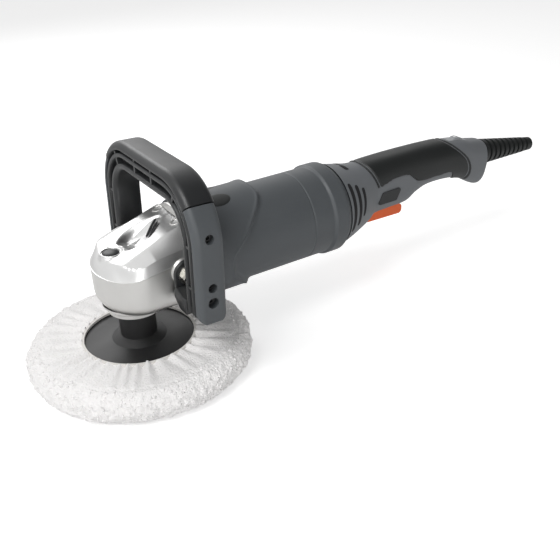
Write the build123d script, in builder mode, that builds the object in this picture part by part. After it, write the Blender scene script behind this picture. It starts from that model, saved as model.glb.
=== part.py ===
from build123d import *
from math import acos, cos, pi, radians, sin, sqrt, tan
import os

# Rotary polisher with a D-shaped front handle. Millimetres, +Z up along the spindle, +X towards the rear
# handle. The origin is the centre of the bonnet's polishing face.

# --- Fits -------------------------------------------------------------------------------------------------
RUNNING_GAP = 0.05        # radial, between a shaft or pin and what it turns in
SEAT_GAP = 0.05           # radial, between a press-fitted piece and its seat
PART_GAP = 0.3            # between pieces that lie side by side
SCREW_GAP = 0.3           # radial, round a screw's shank or head

# --- Drive lines ------------------------------------------------------------------------------------------
MOTOR_Z = 96.0            # height of the motor axis, where the two bevel cones meet

# --- Pad stack --------------------------------------------------------------------------------------------
BONNET_R = 100.0
BONNET_T = 32.0           # height of the bonnet's rim
WOOL_T = 12.0             # wool under the pad
BONNET_SKIN_T = 1.5       # cloth over the top of the pad
HEM_R = 50.8              # inside of the gathered cloth
ELASTIC_W = 2.4
ELASTIC_T = 2.2
PAD_R = 88.0
FOAM_T = 6.0
PLATE_RIM_T = 4.0
PLATE_DISH_Z = 27.0       # top of the backing plate where the bonnet's opening shows it
PLATE_HUB_R = 16.0
PLATE_HUB_TOP_Z = 55.0
PLATE_HUB_FOOT_R = 24.0

# --- Spindle ----------------------------------------------------------------------------------------------
THREAD_R = 7.0            # M14
SPINDLE_SHOULDER_R = 11.0
SPINDLE_SHOULDER_T = 3.0
SPINDLE_SEAT_R = 7.5
SPINDLE_TOP_R = 5.0
LOWER_BEARING_R = 17.5
LOWER_BEARING_T = 11.0
NEEDLE_BEARING_R = 8.0
NEEDLE_BEARING_T = 5.2
NECK_FLOOR_T = 3.0

# --- Bevel gears ------------------------------------------------------------------------------------------
RING_TEETH = 40
PINION_TEETH = 10
CONE_OUTER = 27.0         # ring gear's pitch radius at the teeth's outer end
CONE_INNER = 18.0
RING_TOOTH_SHARE = 0.44   # tooth thickness over circular pitch
PINION_TOOTH_SHARE = 0.40
PRESSURE_ANGLE = 20.0
RING_ADDENDUM = 0.8       # in modules
PINION_ADDENDUM = 0.9
DEDENDUM = 1.25
RING_BASE_Z = 78.0
RING_WEB_Z = 86.0
RING_HUB_R = 10.5
RING_HUB_Z = 89.0

# --- Spindle lock -----------------------------------------------------------------------------------------
LOCK_X = -14.5
LOCK_BUTTON_R = 7.5
LOCK_PIN_R = 2.0
LOCK_HOLE_R = 2.8
LOCK_HOLES = 4
LOCK_TRAVEL = 4.5
LOCK_PIN_REST_GAP = 1.5   # between the pin and the ring gear's web
LOCK_BUTTON_TOP_Z = 114.5
LOCK_BUTTON_SKIRT = 4.0
LOCK_SPRING_WIRE_R = 0.35

# --- Gear housing -----------------------------------------------------------------------------------------
HEAD_R = 42.0
HEAD_WALL = 4.0
HEAD_FLOOR_Z = 64.0
HEAD_BOWL_R = 29.0        # where the rounded underside meets the floor
FACET_TOP_Z = 130.0       # height of the side facets at the ridge
FACET_FALL = 0.9          # how steeply the facets fall away
ROOF_SLOPE = 0.364        # rise of the roof per unit of X
ROOF_HALF_W = 25.0        # half width of the flat ridge of the roof
FLANGE_X = 48.0           # face where the gear housing meets the motor housing
FLANGE_T = 6.0
FLANGE_HALF_W = 43.0      # half width and half height of the rounded flange
FLANGE_HALF_H = 46.0
FLANGE_CORNER_R = 28.0
NECK_R = 23.5
NECK_BOTTOM_Z = 57.0
NECK_FLANGE_T = 4.0
HOUSING_SCREW_OFFSET = 33.0
HOUSING_SCREW_R = 2.5
HOUSING_SCREW_HEAD_R = 4.2
HOUSING_SCREW_HEAD_T = 4.0
HOUSING_SCREW_LENGTH = 22.0
BOSS_R = 12.0             # round boss on each side that carries the D-handle
BOSS_FACE_Y = 44.0

# --- Motor ------------------------------------------------------------------------------------------------
CARRIER_T = 4.0
CARRIER_BOSS_R = 20.0
CARRIER_BOSS_L = 11.0
CARRIER_LIP_T = 1.5
FRONT_BEARING_R = 16.0
FRONT_BEARING_T = 10.0
SHAFT_NOSE_R = 4.0
SHAFT_FRONT_R = 6.0
SHAFT_CORE_R = 7.0
SHAFT_REAR_R = 4.0
REAR_BEARING_R = 11.0
REAR_BEARING_T = 7.0
REAR_BEARING_X = 168.0
FAN_X = 54.0
FAN_R = 35.0
FAN_DISC_T = 2.5
FAN_BLADE_H = 9.0
FAN_BLADES = 9
BAFFLE_X = 70.0
BAFFLE_T = 3.0
BAFFLE_BORE_R = 27.0
STACK_X = 84.0            # front of the armature's and the stator's steel
STACK_L = 48.0
ARMATURE_R = 22.3
AIR_GAP = 0.6
ARMATURE_SLOTS = 12
POLE_SHOE_T = 3.0
YOKE_IN_R = 30.5
COIL_OVERHANG = 6.0
COMMUTATOR_X = 143.0
COMMUTATOR_L = 15.0
COMMUTATOR_R = 14.0
COMMUTATOR_BARS = 24
BRUSH_W = 8.0
BRUSH_H = 6.0
BRUSH_L = 11.0
BRUSH_HOLDER_WALL = 1.5

# --- Motor housing ----------------------------------------------------------------------------------------
BARREL_R = 41.5
BARREL_WALL = 3.0
FLANGE_END_X = 100.0      # where the square front of the housing has run out into the barrel
BAND_X = 187.0
BAND_END_X = 200.0
BAND_R = 43.5
REAR_JOINT_X = 206.0      # face where the motor housing meets the rear shells
REAR_JOINT_R = 40.5
INSERT_X = 81.0
INSERT_Y = 15.0
INSERT_L = 22.0
INSERT_W = 11.0

# --- Rear shells ------------------------------------------------------------------------------------------
SHELL_WALL = 3.0
COVER_END_X = 252.0
COVER_END_R = 27.0
HANDLE_W = 38.0
HANDLE_EDGE = 7.0         # chamfer along the handle
# Side outline of the handle, X and Z: along the top, down the end, and back along the underside.
HANDLE_OUTLINE = [
    (232.0, 131.0),
    (300.0, 131.5),
    (350.0, 129.5),
    (374.0, 126.5),
    (398.0, 121.0),
    (407.0, 119.0),
    (407.0, 86.0),
    (403.0, 72.0),
    (390.0, 75.5),
    (374.0, 84.0),
    (350.0, 88.5),
    (322.0, 88.0),
    (308.0, 83.0),
    (297.0, 76.0),
    (232.0, 76.0),
]
VENT_COUNT = 3
VENT_X = 213.0
VENT_PITCH = 8.0
VENT_H = 44.0
VENT_STEP = 9.0
VENT_W = 3.0
SHELL_BOSS_R = 5.5
SHELL_SCREW_R = 1.75
SHELL_SCREW_HEAD_R = 3.2
SHELL_SCREW_HEAD_T = 2.4
SHELL_SCREW_SEAT_Y = 7.0
SHELL_SCREW_GRIP_L = 16.0
SHELL_SCREWS = [(250.0, 118.0), (308.0, 116.0), (322.0, 98.0), (384.0, 92.0)]
GRIP_T = 1.4              # soft overmould on the handle
GRIP_FRONT_X = COVER_END_X + PART_GAP
GRIP_FRONT_RUN = 12.0     # how far the grip's front edge leans back towards its bottom
GRIP_REAR_X = 334.0
GRIP_TOP_Z = 134.0
GRIP_BOTTOM_Z = 106.0
GRIP_REAR_RUN = 34.0      # how far the grip's rear edge leans back towards its bottom

# --- Controls ---------------------------------------------------------------------------------------------
TRIGGER_X0 = 250.0
TRIGGER_L = 44.0
TRIGGER_W = 17.0
TRIGGER_BOTTOM_Z = 67.0
TRIGGER_TOP_Z = 77.5
TRIGGER_PIVOT_X = 255.0
TRIGGER_PIVOT_Z = 82.0
TRIGGER_POST = 5.0
TRIGGER_POST_X = 276.0
TRIGGER_SWING = 1.5       # room behind the trigger for its swing
SWITCH_X = 258.0
SWITCH_L = 36.0
SWITCH_W = 18.0
SWITCH_Z = 88.0
SWITCH_H = 22.0
SWITCH_RIB = 6.0
LOCK_ON_X = 268.0
LOCK_ON_Z = 95.0
LOCK_ON_L = 26.0
LOCK_ON_H = 12.0
LOCK_ON_SKEW = 35.0
LOCK_ON_TRAVEL = 2.0
LOCK_ON_STAND = 1.2
DIAL_X = 371.0
DIAL_R = 12.0
DIAL_W = 7.0
DIAL_TOP_Z = 129.0        # the dial stands about 2 mm out of the handle
PIN_R = 1.75              # pins of the trigger and the dial
PIN_BOSS_R = 4.0
PIN_SEAT_L = 4.0
DIAL_KNURLS = 24
MODULE_L = 24.0
MODULE_H = 14.0

# --- Cord entry -------------------------------------------------------------------------------------------
RELIEF_X = 396.0
RELIEF_Z = 105.0
RELIEF_DROP = 5.7         # degrees that the strain relief points down
RELIEF_FLANGE_R = 12.0
RELIEF_FLANGE_T = 3.0
RELIEF_NECK_R = 10.5
RELIEF_START = 13.0       # distances along the strain relief
RELIEF_LENGTH = 92.0
RELIEF_BASE_R = 13.8
RELIEF_TIP_R = 7.2
RELIEF_RIBS = 9
RELIEF_GROOVE = 2.4
CORD_BORE_R = 4.1

# --- D-handle ---------------------------------------------------------------------------------------------
PIVOT_X = 31.0
PIVOT_Z = 99.0
D_LEAN = 2.0              # degrees that the handle leans back
D_HALF_SPAN = 90.0
D_THICK = 25.0            # radial thickness of legs and bar
D_DEPTH = 26.0            # along X
D_TOP = 89.0              # above the pivot
D_FOOT = 27.0             # below the pivot
D_SHOULDER_R = 52.0
D_INNER_T = 10.0          # thickness of the inner shell
D_GREY_TOP = 68.0         # top of the grey shells above the pivot
D_FILLET = 8.0
EAR_T = 4.0
EAR_R = 12.0
FOOT_T = 14.0
BOLT_R = 4.0              # M8
BOLT_FLANGE_R = 9.0
BOLT_FLANGE_T = 1.8
BOLT_HEAD_AF = 13.0
BOLT_HEAD_T = 5.5
BOLT_THREAD_L = 14.0
D_SCREW_R = 2.0
D_SCREW_HEAD_R = 3.6
D_SCREW_HEAD_T = 2.5
D_SCREW_DEPTH = 5.0       # recess in the grey shells
D_SCREWS = [46.0, 5.0, -8.0]

os.makedirs("parts", exist_ok=True)


def save(part, name):
    """Labels a finished piece and writes its STEP file."""
    part.label = name
    export_step(part, f"parts/{name}.step")


def motor_plane(x):
    """Plane across the motor axis at station x: its x is world Y, its y is world Z, its normal is +X."""
    return Plane(origin=(x, 0, MOTOR_Z), x_dir=(0, 1, 0), z_dir=(1, 0, 0))


def ring(plane, inner_r, outer_r, length):
    """Plain ring that starts on a plane and runs along its normal."""
    with BuildPart() as piece:
        with BuildSketch(plane):
            Circle(outer_r)
            Circle(inner_r, mode=Mode.SUBTRACT)
        extrude(amount=length)
    return piece.part


def ball_bearing(plane, bore_r, outer_r, width):
    """Deep-groove bearing: inner race, outer race and balls, as separate solids."""
    race_t = (outer_r - bore_r) * 0.28
    ball_r = (outer_r - bore_r) / 2 - race_t - RUNNING_GAP
    track_r = (outer_r + bore_r) / 2
    balls = int(2 * pi * track_r / (2.6 * ball_r))
    centre = plane.offset(width / 2)
    inner = ring(plane, bore_r + RUNNING_GAP, bore_r + race_t, width)
    outer = ring(plane, outer_r - race_t, outer_r, width)
    with BuildPart() as ball_set:
        with Locations(centre):
            with PolarLocations(track_r, balls):
                Sphere(ball_r)
    return Compound(children=[inner, outer] + list(ball_set.part.solids()))


def coil_spring(plane, coil_r, wire_r, length, turns):
    """Round-wire compression spring that stands on a plane."""
    pitch = (length - 2 * wire_r) / turns
    with BuildPart() as spring:
        with BuildLine(Plane.XY.offset(wire_r)):
            path = Helix(pitch, length - 2 * wire_r, coil_r)
        with BuildSketch(Plane(origin=path @ 0, z_dir=path % 0)):
            Circle(wire_r)
        sweep(path=path, is_frenet=True)
    return plane.location * spring.part


# === Pad stack ============================================================================================
foam_z = WOOL_T + PART_GAP
plate_z = foam_z + FOAM_T
pocket_r = PAD_R + PART_GAP * 2
rim_r = BONNET_T / 2
pocket_top_z = plate_z + PLATE_RIM_T + PART_GAP
hem_z = PLATE_DISH_Z + PART_GAP

with BuildPart() as bonnet:
    with BuildSketch(Plane.XZ):
        with BuildLine():
            Polyline((0, 0), (BONNET_R - rim_r, 0))
            ThreePointArc((BONNET_R - rim_r, 0), (BONNET_R, rim_r), (BONNET_R - rim_r, BONNET_T))
            Polyline(
                (BONNET_R - rim_r, BONNET_T),
                (HEM_R + 12, hem_z + BONNET_SKIN_T * 2),
                (HEM_R, hem_z + BONNET_SKIN_T),
                (HEM_R, hem_z),
                (PAD_R - 6, hem_z),
                (pocket_r, pocket_top_z),
                (pocket_r, WOOL_T),
                (0, WOOL_T),
                (0, 0),
            )
        make_face()
    revolve(axis=Axis.Z)
save(bonnet.part, "bonnet")

save(
    ring(Plane.XY.offset(hem_z), HEM_R - ELASTIC_W - PART_GAP, HEM_R - PART_GAP, ELASTIC_T),
    "bonnet_elastic",
)

with BuildPart() as foam_pad:
    with BuildSketch(Plane.XY.offset(foam_z)):
        Circle(PAD_R - PART_GAP)
    extrude(amount=FOAM_T - SEAT_GAP)
save(foam_pad.part, "foam_pad")

thread_bottom_z = plate_z + 3
with BuildPart() as backing_plate:
    with BuildSketch(Plane.XZ):
        with BuildLine():
            Polyline(
                (0, plate_z),
                (PAD_R, plate_z),
                (PAD_R, plate_z + PLATE_RIM_T),
                (PAD_R - 8, PLATE_DISH_Z - PART_GAP),
                (HEM_R - 6, PLATE_DISH_Z - PART_GAP),
                (PLATE_HUB_FOOT_R, PLATE_DISH_Z + 1),
                (PLATE_HUB_R, PLATE_DISH_Z + 5),
                (PLATE_HUB_R, PLATE_HUB_TOP_Z - 1),
                (PLATE_HUB_R - 1, PLATE_HUB_TOP_Z),
                (THREAD_R + SEAT_GAP, PLATE_HUB_TOP_Z),
                (THREAD_R + SEAT_GAP, thread_bottom_z - SEAT_GAP),
                (0, thread_bottom_z - SEAT_GAP),
                (0, plate_z),
            )
        make_face()
    revolve(axis=Axis.Z)
save(backing_plate.part, "backing_plate")

# === Spindle ==============================================================================================
shoulder_z = PLATE_HUB_TOP_Z
lower_bearing_z = NECK_BOTTOM_Z + NECK_FLOOR_T
needle_z = MOTOR_Z + 3.5
spindle_top_z = needle_z + NEEDLE_BEARING_T
with BuildPart() as spindle:
    with BuildSketch(Plane.XZ):
        with BuildLine():
            Polyline(
                (0, thread_bottom_z),
                (THREAD_R - 1, thread_bottom_z),
                (THREAD_R, thread_bottom_z + 1),
                (THREAD_R, shoulder_z),
                (SPINDLE_SHOULDER_R, shoulder_z),
                (SPINDLE_SHOULDER_R, shoulder_z + SPINDLE_SHOULDER_T),
                (SPINDLE_SEAT_R, shoulder_z + SPINDLE_SHOULDER_T),
                (SPINDLE_SEAT_R, RING_HUB_Z + 1),
                (SPINDLE_TOP_R, RING_HUB_Z + 1),
                (SPINDLE_TOP_R, spindle_top_z),
                (0, spindle_top_z),
                (0, thread_bottom_z),
            )
        make_face()
    revolve(axis=Axis.Z)
    # two flats for an open spanner
    with BuildSketch(Plane.XY.offset(shoulder_z)):
        with Locations((0, SPINDLE_SHOULDER_R), (0, -SPINDLE_SHOULDER_R)):
            Rectangle(3 * SPINDLE_SHOULDER_R, 3)
    extrude(amount=SPINDLE_SHOULDER_T, mode=Mode.SUBTRACT)
save(spindle.part, "spindle")

save(
    ball_bearing(Plane.XY.offset(lower_bearing_z), SPINDLE_SEAT_R, LOWER_BEARING_R, LOWER_BEARING_T),
    "spindle_bearing",
)
save(
    ring(Plane.XY.offset(needle_z), SPINDLE_TOP_R + RUNNING_GAP, NEEDLE_BEARING_R, NEEDLE_BEARING_T),
    "needle_bearing",
)

# === Bevel gears ==========================================================================================
# Both gears' teeth shrink towards the point where the spindle's axis meets the motor's.
cone_slope = PINION_TEETH / RING_TEETH


def ring_tooth_section(r):
    """Corners of a ring gear tooth across a radius r: side offset and height."""
    module = 2 * r / RING_TEETH
    pitch_z = MOTOR_Z - cone_slope * r
    half = RING_TOOTH_SHARE * pi * module / 2
    lean = tan(radians(PRESSURE_ANGLE))
    foot = (DEDENDUM + 0.3) * module
    tip = RING_ADDENDUM * module
    return [
        (-half - foot * lean, pitch_z - foot),
        (-half + tip * lean, pitch_z + tip),
        (half - tip * lean, pitch_z + tip),
        (half + foot * lean, pitch_z - foot),
    ]


def root_z(r):
    """Height of the ring gear's tooth roots at radius r."""
    return MOTOR_Z - cone_slope * r - DEDENDUM * 2 * r / RING_TEETH


with BuildPart() as ring_gear:
    with BuildSketch(Plane.XZ):
        with BuildLine():
            Polyline(
                (SPINDLE_SEAT_R + SEAT_GAP, RING_BASE_Z),
                (CONE_OUTER + 1, RING_BASE_Z),
                (CONE_OUTER + 1, root_z(CONE_OUTER + 1)),
                (CONE_INNER - 0.5, root_z(CONE_INNER - 0.5)),
                (CONE_INNER - 0.5, RING_WEB_Z),
                (RING_HUB_R, RING_WEB_Z),
                (RING_HUB_R, RING_HUB_Z),
                (SPINDLE_SEAT_R + SEAT_GAP, RING_HUB_Z),
                (SPINDLE_SEAT_R + SEAT_GAP, RING_BASE_Z),
            )
        make_face()
    revolve(axis=Axis.Z)
    with BuildSketch(Plane.XY.offset(RING_BASE_Z)):
        with PolarLocations(abs(LOCK_X), LOCK_HOLES):
            Circle(LOCK_HOLE_R)
    extrude(amount=RING_HUB_Z - RING_BASE_Z, mode=Mode.SUBTRACT)
with BuildPart() as ring_tooth:
    for station in (CONE_INNER, CONE_OUTER):
        with BuildSketch(Plane(origin=(station, 0, 0), x_dir=(0, 1, 0), z_dir=(1, 0, 0))):
            with BuildLine():
                Polyline(*ring_tooth_section(station), close=True)
            make_face()
    loft(ruled=True)
with BuildPart() as toothed_ring:
    add(ring_gear.part)
    with PolarLocations(0, RING_TEETH):
        add(ring_tooth.part)
save(toothed_ring.part, "ring_gear")


def involute_flank(pitch_r, module, points=4):
    """Points of the pinion tooth's flank from base circle to tip: radius and half angle."""
    base_r = pitch_r * cos(radians(PRESSURE_ANGLE))
    tip_r = pitch_r + PINION_ADDENDUM * module
    half_pitch = PINION_TOOTH_SHARE * pi / PINION_TEETH
    at_pitch = tan(radians(PRESSURE_ANGLE)) - radians(PRESSURE_ANGLE)
    flank = []
    for i in range(points):
        r = base_r + (tip_r - base_r) * i / (points - 1)
        alpha = acos(base_r / r)
        flank.append((r, half_pitch + at_pitch - (tan(alpha) - alpha)))
    return flank


def pinion_tooth_section(x):
    """Outline of a pinion tooth across station x, pointing down: side offset and height."""
    module = 2 * x / RING_TEETH
    pitch_r = cone_slope * x
    flank = involute_flank(pitch_r, module)
    root_r = pitch_r - (DEDENDUM + 0.3) * module
    flank = [(root_r, flank[0][1])] + flank
    right = [(r * sin(a), -r * cos(a)) for r, a in flank]
    left = [(-y, z) for y, z in reversed(right)]
    return right + left


pinion_hub_x = FLANGE_X - CARRIER_BOSS_L - 0.5
with BuildPart() as pinion_blank:
    with BuildSketch(Plane.XZ):
        with BuildLine():
            Polyline(
                (CONE_INNER - 0.5, MOTOR_Z),
                (CONE_INNER - 0.5, MOTOR_Z + (CONE_INNER - 0.5) * (cone_slope - DEDENDUM * 2 / RING_TEETH)),
                (CONE_OUTER + 1, MOTOR_Z + (CONE_OUTER + 1) * (cone_slope - DEDENDUM * 2 / RING_TEETH)),
                (CONE_OUTER + 1, MOTOR_Z + SHAFT_FRONT_R),
                (pinion_hub_x, MOTOR_Z + SHAFT_FRONT_R),
                (pinion_hub_x, MOTOR_Z),
                (CONE_INNER - 0.5, MOTOR_Z),
            )
        make_face()
    revolve(axis=Axis((0, 0, MOTOR_Z), (1, 0, 0)))
    with BuildSketch(motor_plane(CONE_OUTER + 2)):
        Circle(SHAFT_NOSE_R + SEAT_GAP)
    extrude(amount=pinion_hub_x, mode=Mode.SUBTRACT)
with BuildPart() as pinion_tooth:
    for station in (CONE_INNER, CONE_OUTER):
        with BuildSketch(motor_plane(station)):
            with BuildLine():
                Polyline(*pinion_tooth_section(station), close=True)
            make_face()
    loft(ruled=True)
with BuildPart() as pinion:
    add(pinion_blank.part)
    for i in range(PINION_TEETH):
        # a gap of the pinion faces the ring gear's tooth at rest
        add(pinion_tooth.part.rotate(Axis((0, 0, MOTOR_Z), (1, 0, 0)), (i + 0.5) * 360 / PINION_TEETH))
save(pinion.part, "pinion")

# === Armature =============================================================================================
shaft_end_x = REAR_BEARING_X + REAR_BEARING_T + 1
front_bearing_x = FLANGE_X - CARRIER_BOSS_L + CARRIER_LIP_T
with BuildPart() as armature_shaft:
    with BuildSketch(Plane.XZ):
        with BuildLine():
            Polyline(
                (CONE_OUTER + 2.2, MOTOR_Z),
                (CONE_OUTER + 2.2, MOTOR_Z + SHAFT_NOSE_R),
                (pinion_hub_x + SEAT_GAP, MOTOR_Z + SHAFT_NOSE_R),
                (pinion_hub_x + SEAT_GAP, MOTOR_Z + SHAFT_FRONT_R),
                (FLANGE_X + 2, MOTOR_Z + SHAFT_FRONT_R),
                (FLANGE_X + 2, MOTOR_Z + SHAFT_CORE_R),
                (COMMUTATOR_X + COMMUTATOR_L + 2, MOTOR_Z + SHAFT_CORE_R),
                (COMMUTATOR_X + COMMUTATOR_L + 2, MOTOR_Z + SHAFT_REAR_R),
                (shaft_end_x, MOTOR_Z + SHAFT_REAR_R),
                (shaft_end_x, MOTOR_Z),
                (CONE_OUTER + 2.2, MOTOR_Z),
            )
        make_face()
    revolve(axis=Axis((0, 0, MOTOR_Z), (1, 0, 0)))
save(armature_shaft.part, "armature_shaft")

with BuildPart() as armature_core:
    with BuildSketch(motor_plane(STACK_X)):
        Circle(ARMATURE_R)
        Circle(SHAFT_CORE_R + SEAT_GAP, mode=Mode.SUBTRACT)
        with PolarLocations(ARMATURE_R - 3.5, ARMATURE_SLOTS):
            Rectangle(7.2, 3.6, mode=Mode.SUBTRACT)
    extrude(amount=STACK_L)
save(armature_core.part, "armature_core")

with BuildPart() as armature_windings:
    for start in (STACK_X - COIL_OVERHANG, STACK_X + STACK_L + SEAT_GAP):
        with BuildSketch(motor_plane(start)):
            Circle(ARMATURE_R - 1.5)
            Circle(SHAFT_CORE_R + SEAT_GAP, mode=Mode.SUBTRACT)
        extrude(amount=COIL_OVERHANG - SEAT_GAP)
    with BuildSketch(motor_plane(STACK_X - COIL_OVERHANG)):
        with PolarLocations(ARMATURE_R - 4.2, ARMATURE_SLOTS):
            Rectangle(5.0, 3.0)
    extrude(amount=STACK_L + 2 * COIL_OVERHANG)
save(armature_windings.part, "armature_windings")

with BuildPart() as commutator:
    with BuildSketch(motor_plane(COMMUTATOR_X)):
        Circle(COMMUTATOR_R)
        Circle(SHAFT_CORE_R + SEAT_GAP, mode=Mode.SUBTRACT)
        with PolarLocations(COMMUTATOR_R, COMMUTATOR_BARS):
            Rectangle(1.6, 0.5, mode=Mode.SUBTRACT)
    extrude(amount=COMMUTATOR_L)
save(commutator.part, "commutator")

with BuildPart() as fan:
    with BuildSketch(motor_plane(FAN_X)):
        Circle(FAN_R)
    extrude(amount=FAN_DISC_T)
    with BuildSketch(motor_plane(FAN_X)):
        Circle(SHAFT_CORE_R + 4)
    extrude(amount=FAN_DISC_T + FAN_BLADE_H)
    with BuildSketch(motor_plane(FAN_X + FAN_DISC_T)):
        with PolarLocations(FAN_R * 0.68, FAN_BLADES):
            Rectangle(FAN_R * 0.55, 1.8, rotation=28)
    extrude(amount=FAN_BLADE_H)
    with BuildSketch(motor_plane(FAN_X)):
        Circle(SHAFT_CORE_R + SEAT_GAP)
    extrude(amount=FAN_DISC_T + FAN_BLADE_H, mode=Mode.SUBTRACT)
save(fan.part, "fan")

save(
    ball_bearing(motor_plane(front_bearing_x), SHAFT_FRONT_R, FRONT_BEARING_R, FRONT_BEARING_T - CARRIER_LIP_T),
    "front_bearing",
)
save(ball_bearing(motor_plane(REAR_BEARING_X), SHAFT_REAR_R, REAR_BEARING_R, REAR_BEARING_T), "rear_bearing")

# === Stator and brushes ===================================================================================
barrel_bore_r = BARREL_R - BARREL_WALL
stator_r = barrel_bore_r - PART_GAP
shoe_r = ARMATURE_R + AIR_GAP
coil_in_r = shoe_r + POLE_SHOE_T + PART_GAP
coil_out_r = YOKE_IN_R - PART_GAP


def sector(inner_r, outer_r, half_angle, centre_angle):
    """Annular sector in the current sketch."""
    with BuildSketch(mode=Mode.PRIVATE) as piece:
        with BuildLine():
            CenterArc((0, 0), outer_r, centre_angle - half_angle, 2 * half_angle)
            CenterArc((0, 0), inner_r, centre_angle - half_angle, 2 * half_angle)
            for edge_angle in (centre_angle - half_angle, centre_angle + half_angle):
                PolarLine(
                    (inner_r * cos(radians(edge_angle)), inner_r * sin(radians(edge_angle))),
                    outer_r - inner_r,
                    edge_angle,
                )
        make_face()
    return piece.sketch


with BuildPart() as stator_core:
    with BuildSketch(motor_plane(STACK_X)):
        Circle(stator_r)
        Circle(YOKE_IN_R, mode=Mode.SUBTRACT)
        for pole in (90, 270):
            add(sector(shoe_r, shoe_r + POLE_SHOE_T, 62, pole))
            add(sector(shoe_r + 1, YOKE_IN_R + 1, 24, pole))
    extrude(amount=STACK_L)
save(stator_core.part, "stator_core")

with BuildPart() as field_coils:
    with BuildSketch(motor_plane(STACK_X - COIL_OVERHANG)):
        for pole in (90, 270):
            add(sector(coil_in_r, coil_out_r, 58, pole))
    extrude(amount=STACK_L + 2 * COIL_OVERHANG)
    with BuildSketch(motor_plane(STACK_X - PART_GAP)):
        for pole in (90, 270):
            add(sector(coil_in_r - 1, coil_out_r + 1, 26, pole))
    extrude(amount=STACK_L + 2 * PART_GAP, mode=Mode.SUBTRACT)
save(field_coils.part, "field_coils")

save(ring(motor_plane(BAFFLE_X), BAFFLE_BORE_R, stator_r, BAFFLE_T), "air_baffle")

brush_x = COMMUTATOR_X + COMMUTATOR_L / 2
brush_in_y = COMMUTATOR_R + PART_GAP
holder_in_y = brush_in_y + 3
holder_length = barrel_bore_r - PART_GAP - holder_in_y - 3


def brush_plane(side, distance):
    """Plane across a brush, facing away from the motor axis."""
    return Plane(origin=(brush_x, side * distance, MOTOR_Z), x_dir=(1, 0, 0), z_dir=(0, side, 0))


with BuildPart() as carbon_brushes:
    for side in (-1, 1):
        with BuildSketch(brush_plane(side, brush_in_y)):
            Rectangle(BRUSH_W, BRUSH_H)
        extrude(amount=BRUSH_L)
save(carbon_brushes.part, "carbon_brushes")

with BuildPart() as brush_holders:
    for side in (-1, 1):
        with BuildSketch(brush_plane(side, holder_in_y)):
            Rectangle(BRUSH_W + 2 * BRUSH_HOLDER_WALL, BRUSH_H + 2 * BRUSH_HOLDER_WALL)
            Rectangle(BRUSH_W + 2 * SEAT_GAP, BRUSH_H + 2 * SEAT_GAP, mode=Mode.SUBTRACT)
        extrude(amount=holder_length)
        with BuildSketch(brush_plane(side, holder_in_y + holder_length)):
            Rectangle(BRUSH_W + 4 * BRUSH_HOLDER_WALL, BRUSH_H + 4 * BRUSH_HOLDER_WALL)
        extrude(amount=BRUSH_HOLDER_WALL)
save(brush_holders.part, "brush_holders")

spring_start = brush_in_y + BRUSH_L + PART_GAP
spring_length = holder_in_y + holder_length - spring_start - PART_GAP
brush_spring_pair = [
    coil_spring(brush_plane(side, spring_start), BRUSH_H / 2 - 0.8, 0.3, spring_length, 4) for side in (-1, 1)
]
save(Compound(children=brush_spring_pair), "brush_springs")

# === Gear housing =========================================================================================
def roof_z(x):
    """Height of the gear housing's roof at station x."""
    return LOCK_BUTTON_TOP_Z - 1.5 + ROOF_SLOPE * (x - LOCK_X)


def head_plan(radius, half_width, back_x):
    """Plan of the gear housing: round in front, straight sides towards the motor."""
    with BuildSketch(mode=Mode.PRIVATE) as plan:
        Circle(radius)
        with Locations((back_x / 2, 0)):
            Rectangle(back_x, 2 * half_width)
    return plan.sketch


def head_body(shrink):
    """Outer shape of the gear housing, or with shrink its cavity."""
    radius = HEAD_R - shrink
    floor_z = HEAD_FLOOR_Z + shrink
    with BuildPart() as body:
        with BuildSketch(Plane.XY.offset(floor_z)):
            add(head_plan(radius, radius, FLANGE_X))
        extrude(amount=MOTOR_Z + FLANGE_HALF_H - floor_z - shrink)
        chamfer(body.faces().sort_by(Axis.Z)[0].edges(), length=HEAD_R - HEAD_BOWL_R)
        # the sloping roof, and a facet down each side of its ridge
        with BuildSketch(Plane.XZ.offset(-HEAD_R * 2)):
            with BuildLine():
                Polyline(
                    (-HEAD_R * 2, roof_z(-HEAD_R * 2) - shrink),
                    (FLANGE_X * 2, roof_z(FLANGE_X * 2) - shrink),
                    (FLANGE_X * 2, HEAD_R * 5),
                    (-HEAD_R * 2, HEAD_R * 5),
                    close=True,
                )
            make_face()
        extrude(amount=HEAD_R * 4, mode=Mode.SUBTRACT)
        for side in (-1, 1):
            with BuildSketch(motor_plane(-HEAD_R * 2)):
                with BuildLine():
                    Polyline(
                        (side * (ROOF_HALF_W - shrink * 0.6), MOTOR_Z),
                        (side * (ROOF_HALF_W - shrink * 0.6), FACET_TOP_Z - MOTOR_Z),
                        (side * HEAD_R * 2, FACET_TOP_Z - MOTOR_Z - FACET_FALL * (HEAD_R * 2 - ROOF_HALF_W)),
                        (side * HEAD_R * 2, MOTOR_Z),
                        close=True,
                    )
                make_face()
            extrude(amount=HEAD_R * 4, mode=Mode.SUBTRACT)
    return body.part


def flange_square():
    """Rounded square shared by the gear housing's flange and the motor housing's front."""
    with BuildSketch(mode=Mode.PRIVATE) as square:
        RectangleRounded(2 * FLANGE_HALF_W, 2 * FLANGE_HALF_H, FLANGE_CORNER_R)
    return square.sketch


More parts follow.
